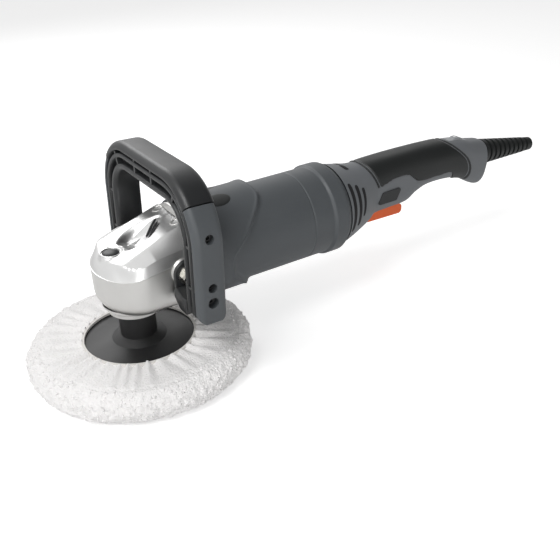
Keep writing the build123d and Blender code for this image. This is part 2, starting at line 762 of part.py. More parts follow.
screw_places = [
    (sy * HOUSING_SCREW_OFFSET, sz * HOUSING_SCREW_OFFSET) for sy in (-1, 1) for sz in (-1, 1)
]
carrier_front_x = FLANGE_X - CARRIER_BOSS_L
lock_seat_z = LOCK_BUTTON_TOP_Z - LOCK_BUTTON_SKIRT - LOCK_TRAVEL - 2
with BuildPart() as gear_housing:
    add(head_body(0))
    with BuildSketch(motor_plane(FLANGE_X - FLANGE_T)):
        add(flange_square())
    extrude(amount=FLANGE_T)
    # side bosses for the D-handle's bolts
    for side in (-1, 1):
        with BuildSketch(Plane(origin=(PIVOT_X, side * (BOSS_FACE_Y - 10), PIVOT_Z), z_dir=(0, side, 0))):
            Circle(BOSS_R)
        extrude(amount=10)
    # neck round the lower bearing
    with BuildSketch(Plane.XY.offset(NECK_BOTTOM_Z + NECK_FLANGE_T)):
        Circle(NECK_R)
    extrude(amount=HEAD_FLOOR_Z - NECK_BOTTOM_Z)
    add(head_body(HEAD_WALL), mode=Mode.SUBTRACT)
    # the cavity opens to the motor round the bearing carrier
    with BuildSketch(motor_plane(carrier_front_x - 2)):
        Circle(CARRIER_BOSS_R + 1)
    extrude(amount=CARRIER_BOSS_L + 4, mode=Mode.SUBTRACT)
    with BuildSketch(motor_plane(FLANGE_X - CARRIER_T - PART_GAP)):
        Circle(barrel_bore_r)
    extrude(amount=CARRIER_T + 4, mode=Mode.SUBTRACT)
    # bearing seat in the floor and needle bearing boss under the roof
    with BuildSketch(Plane.XY.offset(NECK_BOTTOM_Z)):
        Circle(LOWER_BEARING_R + SEAT_GAP)
    extrude(amount=HEAD_FLOOR_Z + HEAD_WALL + 5 - NECK_BOTTOM_Z, mode=Mode.SUBTRACT)
    with BuildSketch(Plane.XY.offset(needle_z)):
        Circle(NEEDLE_BEARING_R + 3)
    extrude(amount=roof_z(0) - HEAD_WALL / 2 - needle_z)
    with BuildSketch(Plane.XY.offset(needle_z - 1)):
        Circle(NEEDLE_BEARING_R + SEAT_GAP)
    extrude(amount=NEEDLE_BEARING_T + 1 + PART_GAP, mode=Mode.SUBTRACT)
    # guide of the spindle lock: button well, spring seat and pin bore
    with BuildSketch(Plane.XY.offset(lock_seat_z - 6)):
        with Locations((LOCK_X, 0)):
            Circle(LOCK_BUTTON_R + 2)
    extrude(amount=roof_z(LOCK_X) - HEAD_WALL / 2 - lock_seat_z + 6)
    with BuildSketch(Plane.XY.offset(needle_z - 1)):
        Circle(NEEDLE_BEARING_R + SEAT_GAP)
    extrude(amount=NEEDLE_BEARING_T + 1 + PART_GAP, mode=Mode.SUBTRACT)
    with BuildSketch(Plane.XY.offset(lock_seat_z)):
        with Locations((LOCK_X, 0)):
            Circle(LOCK_BUTTON_R + RUNNING_GAP)
    extrude(amount=20, mode=Mode.SUBTRACT)
    with BuildSketch(Plane.XY.offset(lock_seat_z - 10)):
        with Locations((LOCK_X, 0)):
            Circle(LOCK_PIN_R + RUNNING_GAP)
    extrude(amount=20, mode=Mode.SUBTRACT)
    for y, dz in screw_places:
        with BuildSketch(motor_plane(FLANGE_X - FLANGE_T)):
            with Locations((y, dz)):
                Circle(HOUSING_SCREW_R + SCREW_GAP)
        extrude(amount=FLANGE_T, mode=Mode.SUBTRACT)
        # room for the screw's head and a driver
        with BuildSketch(motor_plane(FLANGE_X - FLANGE_T)):
            with Locations((y, dz)):
                Circle(HOUSING_SCREW_HEAD_R + SCREW_GAP)
        extrude(amount=-HEAD_R, mode=Mode.SUBTRACT)
    # threaded holes for the D-handle's bolts
    for side in (-1, 1):
        with BuildSketch(Plane(origin=(PIVOT_X, side * BOSS_FACE_Y, PIVOT_Z), z_dir=(0, -side, 0))):
            Circle(BOLT_R + SEAT_GAP)
        extrude(amount=BOLT_THREAD_L + 1, mode=Mode.SUBTRACT)
save(gear_housing.part, "gear_housing")

# flanged ring under the neck that holds the lower bearing
with BuildPart() as neck_ring:
    with BuildSketch(Plane.XY.offset(NECK_BOTTOM_Z)):
        Circle(NECK_R)
        Circle(SPINDLE_SHOULDER_R + 1, mode=Mode.SUBTRACT)
    extrude(amount=NECK_FLOOR_T - SEAT_GAP)
save(neck_ring.part, "bearing_cover")

# === Bearing carrier between the gear housing and the motor ===============================================
with BuildPart() as bearing_carrier:
    with BuildSketch(motor_plane(FLANGE_X - CARRIER_T)):
        Circle(barrel_bore_r - PART_GAP)
    extrude(amount=CARRIER_T)
    with BuildSketch(motor_plane(carrier_front_x)):
        Circle(CARRIER_BOSS_R)
    extrude(amount=CARRIER_BOSS_L)
    with BuildSketch(motor_plane(carrier_front_x)):
        Circle(SHAFT_FRONT_R + 3)
    extrude(amount=CARRIER_BOSS_L, mode=Mode.SUBTRACT)
    with BuildSketch(motor_plane(front_bearing_x)):
        Circle(FRONT_BEARING_R + SEAT_GAP)
    extrude(amount=CARRIER_BOSS_L, mode=Mode.SUBTRACT)
save(bearing_carrier.part, "bearing_carrier")

# === Spindle lock =========================================================================================
lock_pin_bottom_z = RING_WEB_Z + LOCK_PIN_REST_GAP
button_bottom_z = lock_seat_z + LOCK_TRAVEL + 1
with BuildPart() as lock_button:
    with BuildSketch(Plane.XY.offset(button_bottom_z)):
        with Locations((LOCK_X, 0)):
            Circle(LOCK_BUTTON_R)
    extrude(amount=LOCK_BUTTON_TOP_Z - button_bottom_z)
    fillet(lock_button.edges().group_by(Axis.Z)[-1], radius=1.6)
    with BuildSketch(Plane.XY.offset(button_bottom_z)):
        with Locations((LOCK_X, 0)):
            Circle(LOCK_PIN_R + SEAT_GAP)
    extrude(amount=2.5, mode=Mode.SUBTRACT)
save(lock_button.part, "spindle_lock_button")

with BuildPart() as lock_pin:
    with BuildSketch(Plane.XY.offset(lock_pin_bottom_z)):
        with Locations((LOCK_X, 0)):
            Circle(LOCK_PIN_R)
    extrude(amount=button_bottom_z + 2.4 - lock_pin_bottom_z)
save(lock_pin.part, "spindle_lock_pin")

save(
    coil_spring(
        Plane(origin=(LOCK_X, 0, lock_seat_z + PART_GAP)),
        LOCK_PIN_R + 1.4,
        LOCK_SPRING_WIRE_R,
        button_bottom_z - lock_seat_z - 2 * PART_GAP,
        3,
    ),
    "spindle_lock_spring",
)

# === Motor housing ========================================================================================
with BuildPart() as motor_housing:
    with BuildSketch(Plane.XZ):
        with BuildLine():
            Polyline(
                (FLANGE_X, MOTOR_Z),
                (FLANGE_X, MOTOR_Z + BARREL_R),
                (BAND_X - 2, MOTOR_Z + BARREL_R),
                (BAND_X, MOTOR_Z + BAND_R),
                (BAND_END_X, MOTOR_Z + BAND_R),
                (REAR_JOINT_X, MOTOR_Z + REAR_JOINT_R),
                (REAR_JOINT_X, MOTOR_Z),
                close=True,
            )
        make_face()
    revolve(axis=Axis((0, 0, MOTOR_Z), (1, 0, 0)))
    with BuildSketch(motor_plane(FLANGE_X)):
        add(flange_square())
    with BuildSketch(motor_plane(FLANGE_END_X)):
        RectangleRounded(2 * BARREL_R, 2 * BARREL_R, BARREL_R - 2)
    loft(ruled=True)
    with BuildSketch(motor_plane(FLANGE_X)):
        Circle(barrel_bore_r)
    extrude(amount=REAR_JOINT_X - FLANGE_X, mode=Mode.SUBTRACT)
    # rear web that carries the rear bearing on four spokes
    with BuildSketch(motor_plane(REAR_BEARING_X)):
        Circle(REAR_BEARING_R + 3.5)
        with PolarLocations(barrel_bore_r / 2, 4, start_angle=45):
            Rectangle(barrel_bore_r + 2, 6)
        Circle(REAR_BEARING_R + SEAT_GAP, mode=Mode.SUBTRACT)
    extrude(amount=REAR_BEARING_T)
    for y, dz in screw_places:
        with BuildSketch(motor_plane(FLANGE_X)):
            with Locations((y, dz)):
                Circle(HOUSING_SCREW_R + SEAT_GAP)
        extrude(amount=HOUSING_SCREW_LENGTH - FLANGE_T + 1, mode=Mode.SUBTRACT)
    # oval pockets on the shoulders
    for side in (-1, 1):
        with BuildSketch(Plane.XY.offset(MOTOR_Z + BARREL_R - 1.2)):
            with Locations((INSERT_X, side * INSERT_Y)):
                SlotOverall(INSERT_L, INSERT_W)
        extrude(amount=20, mode=Mode.SUBTRACT)
save(motor_housing.part, "motor_housing")

with BuildPart() as shoulder_inserts:
    for side in (-1, 1):
        with BuildSketch(Plane.XY.offset(MOTOR_Z + BARREL_R - 1.2)):
            with Locations((INSERT_X, side * INSERT_Y)):
                SlotOverall(INSERT_L - 2 * PART_GAP, INSERT_W - 2 * PART_GAP)
        extrude(amount=1.5)
save(shoulder_inserts.part, "shoulder_inserts")

with BuildPart() as housing_screws:
    for y, dz in screw_places:
        with BuildSketch(motor_plane(FLANGE_X - FLANGE_T)):
            with Locations((y, dz)):
                Circle(HOUSING_SCREW_R)
        extrude(amount=HOUSING_SCREW_LENGTH)
        with BuildSketch(motor_plane(FLANGE_X - FLANGE_T - HOUSING_SCREW_HEAD_T)):
            with Locations((y, dz)):
                Circle(HOUSING_SCREW_HEAD_R)
                RegularPolygon(HOUSING_SCREW_HEAD_R * 0.5, 6, mode=Mode.SUBTRACT)
        extrude(amount=HOUSING_SCREW_HEAD_T)
save(housing_screws.part, "housing_screws")

# === Rear shells ==========================================================================================
def cover_cone(shrink):
    """Cone that narrows from the motor housing to the handle."""
    with BuildPart() as body:
        with BuildSketch(Plane.XZ):
            with BuildLine():
                Polyline(
                    (REAR_JOINT_X, MOTOR_Z),
                    (REAR_JOINT_X, MOTOR_Z + REAR_JOINT_R - shrink),
                    (COVER_END_X - shrink, MOTOR_Z + COVER_END_R - shrink),
                    (COVER_END_X - shrink, MOTOR_Z),
                    close=True,
                )
            make_face()
        revolve(axis=Axis((0, 0, MOTOR_Z), (1, 0, 0)))
    return body.part


def handle_body(shrink):
    """Handle: its side outline at full width with rounded edges, or with shrink its cavity."""
    half_w = HANDLE_W / 2 - shrink
    with BuildPart() as body:
        with BuildSketch(Plane.XZ.offset(-half_w)) as side:
            with BuildLine():
                Polyline(*HANDLE_OUTLINE, close=True)
            make_face()
            if shrink:
                offset(amount=-shrink, kind=Kind.INTERSECTION)
        extrude(amount=2 * half_w)
        long_edges = body.faces().filter_by(Axis.Y).edges()
        chamfer(long_edges, length=HANDLE_EDGE - shrink * (2 - sqrt(2)))
    return body.part


dial_z = DIAL_TOP_Z - DIAL_R
relief_plane = Plane(
    origin=(RELIEF_X, 0, RELIEF_Z),
    x_dir=(cos(radians(RELIEF_DROP)), 0, -sin(radians(RELIEF_DROP))),
    z_dir=(0, -1, 0),
)


def relief_cross_plane(distance):
    """Plane across the strain relief, at a distance along it from its flange."""
    return Plane(
        origin=relief_plane.from_local_coords((distance, 0, 0)),
        x_dir=(0, 1, 0),
        z_dir=relief_plane.x_dir,
    )


def side_plane(x, z, y=0.0):
    """Plane seen from the near side, through a point of the handle: its normal is -Y."""
    return Plane(origin=(x, y, z), x_dir=(1, 0, 0), z_dir=(0, -1, 0))


def rhombus(grow):
    """Outline of the lock-on button seen from the side; grow adds clearance all round."""
    skew = LOCK_ON_H * tan(radians(LOCK_ON_SKEW)) / 2
    with BuildSketch(mode=Mode.PRIVATE) as outline:
        with BuildLine():
            Polyline(
                (-LOCK_ON_L / 2 - skew / 2, -LOCK_ON_H / 2),
                (LOCK_ON_L / 2 - skew, -LOCK_ON_H / 2),
                (LOCK_ON_L / 2 + skew / 2, LOCK_ON_H / 2),
                (-LOCK_ON_L / 2 + skew, LOCK_ON_H / 2),
                close=True,
            )
        make_face()
        fillet(outline.vertices(), radius=2)
        if grow:
            offset(amount=grow)
    return outline.sketch


with BuildPart() as rear_shells:
    add(cover_cone(0))
    add(handle_body(0))
    add(cover_cone(SHELL_WALL), mode=Mode.SUBTRACT)
    add(handle_body(SHELL_WALL), mode=Mode.SUBTRACT)
    for x, z in SHELL_SCREWS:
        with BuildSketch(side_plane(x, z)):
            Circle(SHELL_BOSS_R)
        extrude(amount=HANDLE_W / 2 - 1, both=True)
        with BuildSketch(side_plane(x, z)):
            Circle(SHELL_SCREW_R + SEAT_GAP)
        extrude(amount=SHELL_SCREW_GRIP_L - SHELL_SCREW_SEAT_Y + 1, both=True, mode=Mode.SUBTRACT)
        with BuildSketch(side_plane(x, z, HANDLE_W / 2 + 1)):
            Circle(SHELL_SCREW_HEAD_R + SCREW_GAP)
        extrude(amount=HANDLE_W / 2 + 1 - SHELL_SCREW_SEAT_Y, mode=Mode.SUBTRACT)
    # bosses for the trigger's and the dial's pins
    for x, z, gap in ((TRIGGER_PIVOT_X, TRIGGER_PIVOT_Z, TRIGGER_W), (DIAL_X, dial_z, DIAL_W)):
        for side in (-1, 1):
            boss_plane = Plane(origin=(x, side * (gap / 2 + 2 * PART_GAP), z), z_dir=(0, side, 0))
            with BuildSketch(boss_plane):
                Circle(PIN_BOSS_R)
            extrude(amount=HANDLE_W / 2 - 1 - gap / 2 - 2 * PART_GAP)
            with BuildSketch(boss_plane):
                Circle(PIN_R + SEAT_GAP)
            extrude(amount=PIN_SEAT_L + PART_GAP, mode=Mode.SUBTRACT)
    # ribs that hold the switch between the shells
    rib_w = HANDLE_W / 2 - 1 - SWITCH_W / 2 - SEAT_GAP
    for side in (-1, 1):
        with BuildSketch(Plane.XY.offset(SWITCH_Z + SWITCH_H / 2)):
            with Locations((SWITCH_X + SWITCH_L - SWITCH_RIB, side * (HANDLE_W / 2 - 1 - rib_w / 2))):
                Rectangle(SWITCH_RIB, rib_w)
        extrude(amount=SWITCH_RIB)
    # mouth for the trigger
    with BuildSketch(Plane.XY.offset(TRIGGER_BOTTOM_Z - 5)):
        with Locations((TRIGGER_X0 + (TRIGGER_L + TRIGGER_SWING) / 2, 0)):
            Rectangle(TRIGGER_L + 2 * PART_GAP + TRIGGER_SWING, TRIGGER_W + 2 * PART_GAP)
    extrude(amount=20, mode=Mode.SUBTRACT)
    # window for the lock-on button
    with BuildSketch(side_plane(LOCK_ON_X, LOCK_ON_Z)):
        add(rhombus(PART_GAP))
    extrude(amount=HANDLE_W, mode=Mode.SUBTRACT)
    # slot for the speed dial
    with BuildSketch(Plane.XY.offset(dial_z)):
        with Locations((DIAL_X, 0)):
            Rectangle(2 * DIAL_R + 1.2, DIAL_W + 2 * PART_GAP)
    extrude(amount=40, mode=Mode.SUBTRACT)
    # seat of the strain relief
    with BuildSketch(relief_cross_plane(0)):
        Circle(RELIEF_NECK_R + SEAT_GAP)
    extrude(amount=30, mode=Mode.SUBTRACT)
    # cooling vents on both sides
    for i in range(VENT_COUNT):
        with BuildSketch(side_plane(VENT_X + i * VENT_PITCH, MOTOR_Z + 4)):
            SlotOverall(VENT_H - VENT_STEP * i, VENT_W, rotation=84)
        extrude(amount=BARREL_R, both=True, mode=Mode.SUBTRACT)

with BuildPart() as handle_left:
    add(rear_shells.part)
    split(bisect_by=Plane.XZ, keep=Keep.TOP)
save(handle_left.part, "handle_shell_left")
with BuildPart() as handle_right:
    add(rear_shells.part)
    split(bisect_by=Plane.XZ, keep=Keep.BOTTOM)
save(handle_right.part, "handle_shell_right")

with BuildPart() as shell_screws:
    for x, z in SHELL_SCREWS:
        with BuildSketch(side_plane(x, z, SHELL_SCREW_SEAT_Y)):
            Circle(SHELL_SCREW_R)
        extrude(amount=SHELL_SCREW_GRIP_L)
        with BuildSketch(side_plane(x, z, SHELL_SCREW_SEAT_Y + SHELL_SCREW_HEAD_T)):
            Circle(SHELL_SCREW_HEAD_R)
        extrude(amount=SHELL_SCREW_HEAD_T)
        with BuildSketch(side_plane(x, z, SHELL_SCREW_SEAT_Y + SHELL_SCREW_HEAD_T)):
            Rectangle(SHELL_SCREW_HEAD_R, 0.8)
            Rectangle(0.8, SHELL_SCREW_HEAD_R)
        extrude(amount=1, mode=Mode.SUBTRACT)
save(shell_screws.part, "handle_screws")

# soft grip over the top and both sides of the handle
with BuildPart() as handle_grip:
    add(handle_body(-GRIP_T))
    add(handle_body(-SEAT_GAP), mode=Mode.SUBTRACT)
    with BuildSketch(Plane.XZ.offset(-HANDLE_W)):
        with BuildLine():
            Polyline(
                (GRIP_FRONT_X, GRIP_TOP_Z),
                (GRIP_FRONT_X + GRIP_FRONT_RUN, GRIP_BOTTOM_Z),
                (GRIP_REAR_X + GRIP_REAR_RUN, GRIP_BOTTOM_Z),
                (GRIP_REAR_X, GRIP_TOP_Z),
                close=True,
            )
        make_face()
    extrude(amount=2 * HANDLE_W, mode=Mode.INTERSECT)
save(handle_grip.part, "handle_grip")

# === Trigger and switch ===================================================================================
post_top_z = SWITCH_Z + TRIGGER_POST
with BuildPart() as trigger:
    with BuildSketch(Plane.XZ.offset(-TRIGGER_W / 2)) as trigger_side:
        with BuildLine():
            Polyline(
                (TRIGGER_X0, TRIGGER_BOTTOM_Z + 1),
                (TRIGGER_X0 + TRIGGER_L, TRIGGER_BOTTOM_Z),
                (TRIGGER_X0 + TRIGGER_L, TRIGGER_TOP_Z),
                (TRIGGER_PIVOT_X + 8, TRIGGER_TOP_Z),
                (TRIGGER_PIVOT_X + 3.5, TRIGGER_PIVOT_Z + 3),
                (TRIGGER_X0 + 1, TRIGGER_PIVOT_Z + 3),
                close=True,
            )
        make_face()
        fillet(trigger_side.vertices().group_by(Axis.X)[-1], radius=4)
    extrude(amount=TRIGGER_W)
    with BuildSketch(Plane.XY.offset(TRIGGER_TOP_Z - 1)):
        with Locations((TRIGGER_POST_X, 0)):
            Rectangle(TRIGGER_POST, TRIGGER_POST)
    extrude(amount=post_top_z - TRIGGER_TOP_Z + 1)
    with BuildSketch(side_plane(TRIGGER_PIVOT_X, TRIGGER_PIVOT_Z)):
        Circle(PIN_R + RUNNING_GAP)
    extrude(amount=TRIGGER_W, both=True, mode=Mode.SUBTRACT)
save(trigger.part, "trigger")

with BuildPart() as trigger_pin:
    with BuildSketch(side_plane(TRIGGER_PIVOT_X, TRIGGER_PIVOT_Z)):
        Circle(PIN_R)
    extrude(amount=TRIGGER_W / 2 + 2 * PART_GAP + PIN_SEAT_L, both=True)
save(trigger_pin.part, "trigger_pin")

with BuildPart() as switch_body:
    with BuildSketch(Plane.XY.offset(SWITCH_Z)):
        with Locations((SWITCH_X + SWITCH_L / 2, 0)):
            Rectangle(SWITCH_L, SWITCH_W)
    extrude(amount=SWITCH_H)
    with BuildSketch(Plane.XY.offset(SWITCH_Z)):
        with Locations((TRIGGER_POST_X, 0)):
            Rectangle(TRIGGER_POST + 4, TRIGGER_POST + 2)
    extrude(amount=2 * TRIGGER_POST + 2, mode=Mode.SUBTRACT)
save(switch_body.part, "switch")

lock_on_inner_y = SWITCH_W / 2 + LOCK_ON_TRAVEL + PART_GAP
with BuildPart() as lock_on_button:
    with BuildSketch(side_plane(LOCK_ON_X, LOCK_ON_Z, -lock_on_inner_y)):
        add(rhombus(0))
    extrude(amount=HANDLE_W / 2 + LOCK_ON_STAND - lock_on_inner_y)
save(lock_on_button.part, "lock_on_button")

# === Speed control ========================================================================================
with BuildPart() as speed_dial:
    with BuildSketch(side_plane(DIAL_X, dial_z)):
        Circle(DIAL_R)
        with PolarLocations(DIAL_R, DIAL_KNURLS):
            Circle(0.6, mode=Mode.SUBTRACT)
        Circle(PIN_R + RUNNING_GAP, mode=Mode.SUBTRACT)
    extrude(amount=DIAL_W / 2, both=True)
save(speed_dial.part, "speed_dial")

with BuildPart() as dial_pin:
    with BuildSketch(side_plane(DIAL_X, dial_z)):
        Circle(PIN_R)
    extrude(amount=DIAL_W / 2 + 2 * PART_GAP + PIN_SEAT_L, both=True)
save(dial_pin.part, "dial_pin")

module_x = DIAL_X - DIAL_R - PART_GAP - MODULE_L
with BuildPart() as speed_module:
    with BuildSketch(Plane.XY.offset(dial_z - MODULE_H / 2 - 4)):
        with Locations((module_x + MODULE_L / 2, 0)):
            Rectangle(MODULE_L, HANDLE_W - 2 * SHELL_WALL - 4 * PART_GAP)
    extrude(amount=MODULE_H)
save(speed_module.part, "speed_module")

# === Cord entry ===========================================================================================
rib_pitch = (RELIEF_LENGTH - RELIEF_START) / (RELIEF_RIBS + 1)


def relief_radius(distance):
    """Outer radius of the strain relief's cone."""
    share = (distance - RELIEF_START) / (RELIEF_LENGTH - RELIEF_START)
    return RELIEF_BASE_R + (RELIEF_TIP_R - RELIEF_BASE_R) * share


relief_outline = [
    (0, CORD_BORE_R),
    (0, RELIEF_FLANGE_R),
    (RELIEF_FLANGE_T, RELIEF_FLANGE_R),
    (RELIEF_FLANGE_T, RELIEF_NECK_R),
    (RELIEF_START, RELIEF_NECK_R),
]
for i in range(RELIEF_RIBS):
    rib_x = RELIEF_START + i * rib_pitch
    rib_end_x = rib_x + rib_pitch * 0.6
    relief_outline += [
        (rib_x + SEAT_GAP, relief_radius(rib_x)),
        (rib_end_x, relief_radius(rib_end_x)),
        (rib_end_x + SEAT_GAP, relief_radius(rib_end_x) - RELIEF_GROOVE),
        (rib_x + rib_pitch, relief_radius(rib_x + rib_pitch) - RELIEF_GROOVE),
    ]
relief_outline += [
    (RELIEF_LENGTH - rib_pitch + SEAT_GAP, RELIEF_TIP_R + 0.4),
    (RELIEF_LENGTH, RELIEF_TIP_R),
    (RELIEF_LENGTH, CORD_BORE_R),
]
with BuildPart() as strain_relief:
    with BuildSketch(relief_plane):
        with BuildLine():
            Polyline(*relief_outline, close=True)
        make_face()
    revolve(axis=Axis(relief_plane.origin, relief_plane.x_dir))
save(strain_relief.part, "strain_relief")

# === D-handle =============================================================================================
# Its pieces are drawn in the plane of the loop, which leans back: x is world Y, y runs up from the pivot.
d_plane = Plane(
    origin=(PIVOT_X, 0, PIVOT_Z),
    x_dir=(0, 1, 0),
    z_dir=(cos(radians(D_LEAN)), 0, -sin(radians(D_LEAN))),
)


def d_outline(inset, bottom):
    """Closed outline of the D, moved in from its outer edge and cut off at the bottom."""
    half = D_HALF_SPAN - inset
    top = D_TOP - inset
    with BuildSketch(mode=Mode.PRIVATE) as outline:
        with Locations((0, (top + bottom) / 2)):
            Rectangle(2 * half, top - bottom)
        fillet(outline.vertices().group_by(Axis.Y)[-1], radius=D_SHOULDER_R - inset)
    return outline.sketch


def d_band(inset_out, inset_in, bottom):
    """Solid band of the D between two insets, at full depth, with its outer edges rounded."""
    with BuildPart() as band:
        with BuildSketch(d_plane):
            add(d_outline(inset_out, bottom))
            add(d_outline(inset_in, bottom - 1), mode=Mode.SUBTRACT)
        extrude(amount=D_DEPTH / 2, both=True)
    return band.part


def above(height):
    """Block that covers everything above a height over the pivot."""
    with BuildPart() as block:
        with BuildSketch(d_plane):
            with Locations((0, height + D_TOP)):
                Rectangle(4 * D_HALF_SPAN, 2 * D_TOP)
        extrude(amount=D_DEPTH, both=True)
    return block.part


outer_t = D_THICK - D_INNER_T
with BuildPart() as d_outer_band:
    add(d_band(0, outer_t, -D_FOOT))
    outer_edges = []
    for edge in d_outer_band.edges():
        middle = d_plane.to_local_coords(edge @ 0.5)
        on_rim = abs(abs(middle.Z) - D_DEPTH / 2) < 0.01
        on_leg = abs(middle.X) > D_HALF_SPAN - 0.5
        on_bar = middle.Y > D_TOP - 0.5
        on_shoulder = edge.geom_type == GeomType.CIRCLE and edge.radius > D_SHOULDER_R - 0.5
        if on_rim and (on_leg or on_bar or on_shoulder):
            outer_edges.append(edge)
    fillet(outer_edges, radius=D_FILLET)
with BuildPart() as d_grip:
    add(d_outer_band.part)
    add(above(D_GREY_TOP + PART_GAP / 2), mode=Mode.INTERSECT)
save(d_grip.part, "d_handle_grip")


with BuildPart() as d_grey:
    add(d_outer_band.part)
    add(above(D_GREY_TOP - PART_GAP / 2), mode=Mode.SUBTRACT)
    for height in D_SCREWS:
        for side, turn in ((1, 1), (-1, -1)):
            screw_plane = Plane(
                origin=d_plane.from_local_coords((side * -D_HALF_SPAN, height, 0)),
                x_dir=d_plane.z_dir,
                z_dir=(0, turn, 0),
            )
            with BuildSketch(screw_plane):
                Circle(D_SCREW_HEAD_R + SCREW_GAP)
            extrude(amount=D_SCREW_DEPTH + D_SCREW_HEAD_T, mode=Mode.SUBTRACT)
            with BuildSketch(screw_plane):
                Circle(D_SCREW_R + SCREW_GAP)
            extrude(amount=outer_t + 2, mode=Mode.SUBTRACT)
left_grey, right_grey = d_grey.part.solids().sort_by(Axis.Y)
save(Part(children=[left_grey]), "d_handle_shell_left")
save(Part(children=[right_grey]), "d_handle_shell_right")

ear_y = BOSS_FACE_Y + PART_GAP
inner_y = D_HALF_SPAN - outer_t - SEAT_GAP
with BuildPart() as d_inner:
    add(d_band(outer_t + SEAT_GAP, D_THICK, -D_FOOT))
    for side in (-1, 1):
        # foot that reaches in from the leg, with its front corner cut away below
        with BuildSketch(d_plane):
            with Locations((side * (ear_y + inner_y) / 2, -D_FOOT + FOOT_T / 2)):
                Rectangle(inner_y - ear_y, FOOT_T)
        extrude(amount=D_DEPTH / 2, both=True)
        # ear against the gear housing's side boss
        ear_plane = Plane(origin=(PIVOT_X, side * ear_y, PIVOT_Z), x_dir=(0, 0, 1), z_dir=(0, side, 0))
        with BuildSketch(ear_plane):
            Circle(EAR_R)
            with Locations((-D_FOOT / 2, 0)):
                Rectangle(D_FOOT, 2 * EAR_R)
        extrude(amount=EAR_T)
        with BuildSketch(ear_plane):
            Circle(BOLT_R + RUNNING_GAP)
        extrude(amount=EAR_T, mode=Mode.SUBTRACT)
        for height in D_SCREWS:
            screw_plane = Plane(
                origin=d_plane.from_local_coords((side * D_HALF_SPAN, height, 0)),
                x_dir=d_plane.z_dir,
                z_dir=(0, -side, 0),
            )
            with BuildSketch(screw_plane):
                Circle(D_SCREW_R + SEAT_GAP)
            extrude(amount=D_THICK - 2, mode=Mode.SUBTRACT)
save(d_inner.part, "d_handle_inner_shell")

with BuildPart() as d_screws:
    for side in (-1, 1):
        for height in D_SCREWS:
            head_plane = Plane(
                origin=d_plane.from_local_coords((side * (D_HALF_SPAN - D_SCREW_DEPTH), height, 0)),
                x_dir=d_plane.z_dir,
                z_dir=(0, -side, 0),
            )
            with BuildSketch(head_plane):
                Circle(D_SCREW_HEAD_R)
                RegularPolygon(D_SCREW_HEAD_R * 0.5, 6, mode=Mode.SUBTRACT)
            extrude(amount=D_SCREW_HEAD_T)
            with BuildSketch(head_plane.offset(D_SCREW_HEAD_T)):
                Circle(D_SCREW_R)
            extrude(amount=D_THICK - D_SCREW_DEPTH - D_SCREW_HEAD_T - 3)
save(d_screws.part, "d_handle_screws")

with BuildPart() as d_bolts:
    for side in (-1, 1):
        bolt_plane = Plane(
            origin=(PIVOT_X, side * (ear_y + EAR_T + PART_GAP), PIVOT_Z), x_dir=(1, 0, 0), z_dir=(0, side, 0)
        )
        with BuildSketch(bolt_plane):
            Circle(BOLT_FLANGE_R)
        extrude(amount=BOLT_FLANGE_T)
        with BuildSketch(bolt_plane.offset(BOLT_FLANGE_T)):
            RegularPolygon(BOLT_HEAD_AF / 2, 6, major_radius=False)
        extrude(amount=BOLT_HEAD_T)
        with BuildSketch(bolt_plane):
            Circle(BOLT_R)
        extrude(amount=-(EAR_T + 2 * PART_GAP + BOLT_THREAD_L))
save(d_bolts.part, "d_handle_bolts")
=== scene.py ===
"""Rotary polisher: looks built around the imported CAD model, in metres."""

import logging
import math
from dataclasses import dataclass, field
from enum import Enum
from typing import Callable

import bmesh
import bpy
from mathutils import Matrix, Vector, noise


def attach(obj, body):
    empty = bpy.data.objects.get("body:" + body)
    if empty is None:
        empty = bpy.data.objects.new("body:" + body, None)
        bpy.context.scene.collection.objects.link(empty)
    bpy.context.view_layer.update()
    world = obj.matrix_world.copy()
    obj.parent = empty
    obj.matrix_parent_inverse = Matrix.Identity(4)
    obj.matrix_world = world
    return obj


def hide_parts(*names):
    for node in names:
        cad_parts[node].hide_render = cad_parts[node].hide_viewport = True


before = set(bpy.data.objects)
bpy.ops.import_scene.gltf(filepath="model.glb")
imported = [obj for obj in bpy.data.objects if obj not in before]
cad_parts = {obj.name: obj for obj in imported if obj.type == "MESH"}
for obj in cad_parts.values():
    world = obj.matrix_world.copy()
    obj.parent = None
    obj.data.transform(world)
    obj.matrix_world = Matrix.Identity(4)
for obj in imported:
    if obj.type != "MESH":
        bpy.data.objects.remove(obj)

log = logging.getLogger("polisher")
MM = 0.001
FULL_TURN = 2 * math.pi
SIDES = ((-1, "left"), (1, "right"))

Plan = list[tuple[float, float]]


class Body(str, Enum):
    """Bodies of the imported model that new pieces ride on."""

    HOUSING = "housing"
    SPINDLE = "spindle"
    D_HANDLE = "d_handle"
    DIAL = "dial"
    LOCK = "spindle_lock"


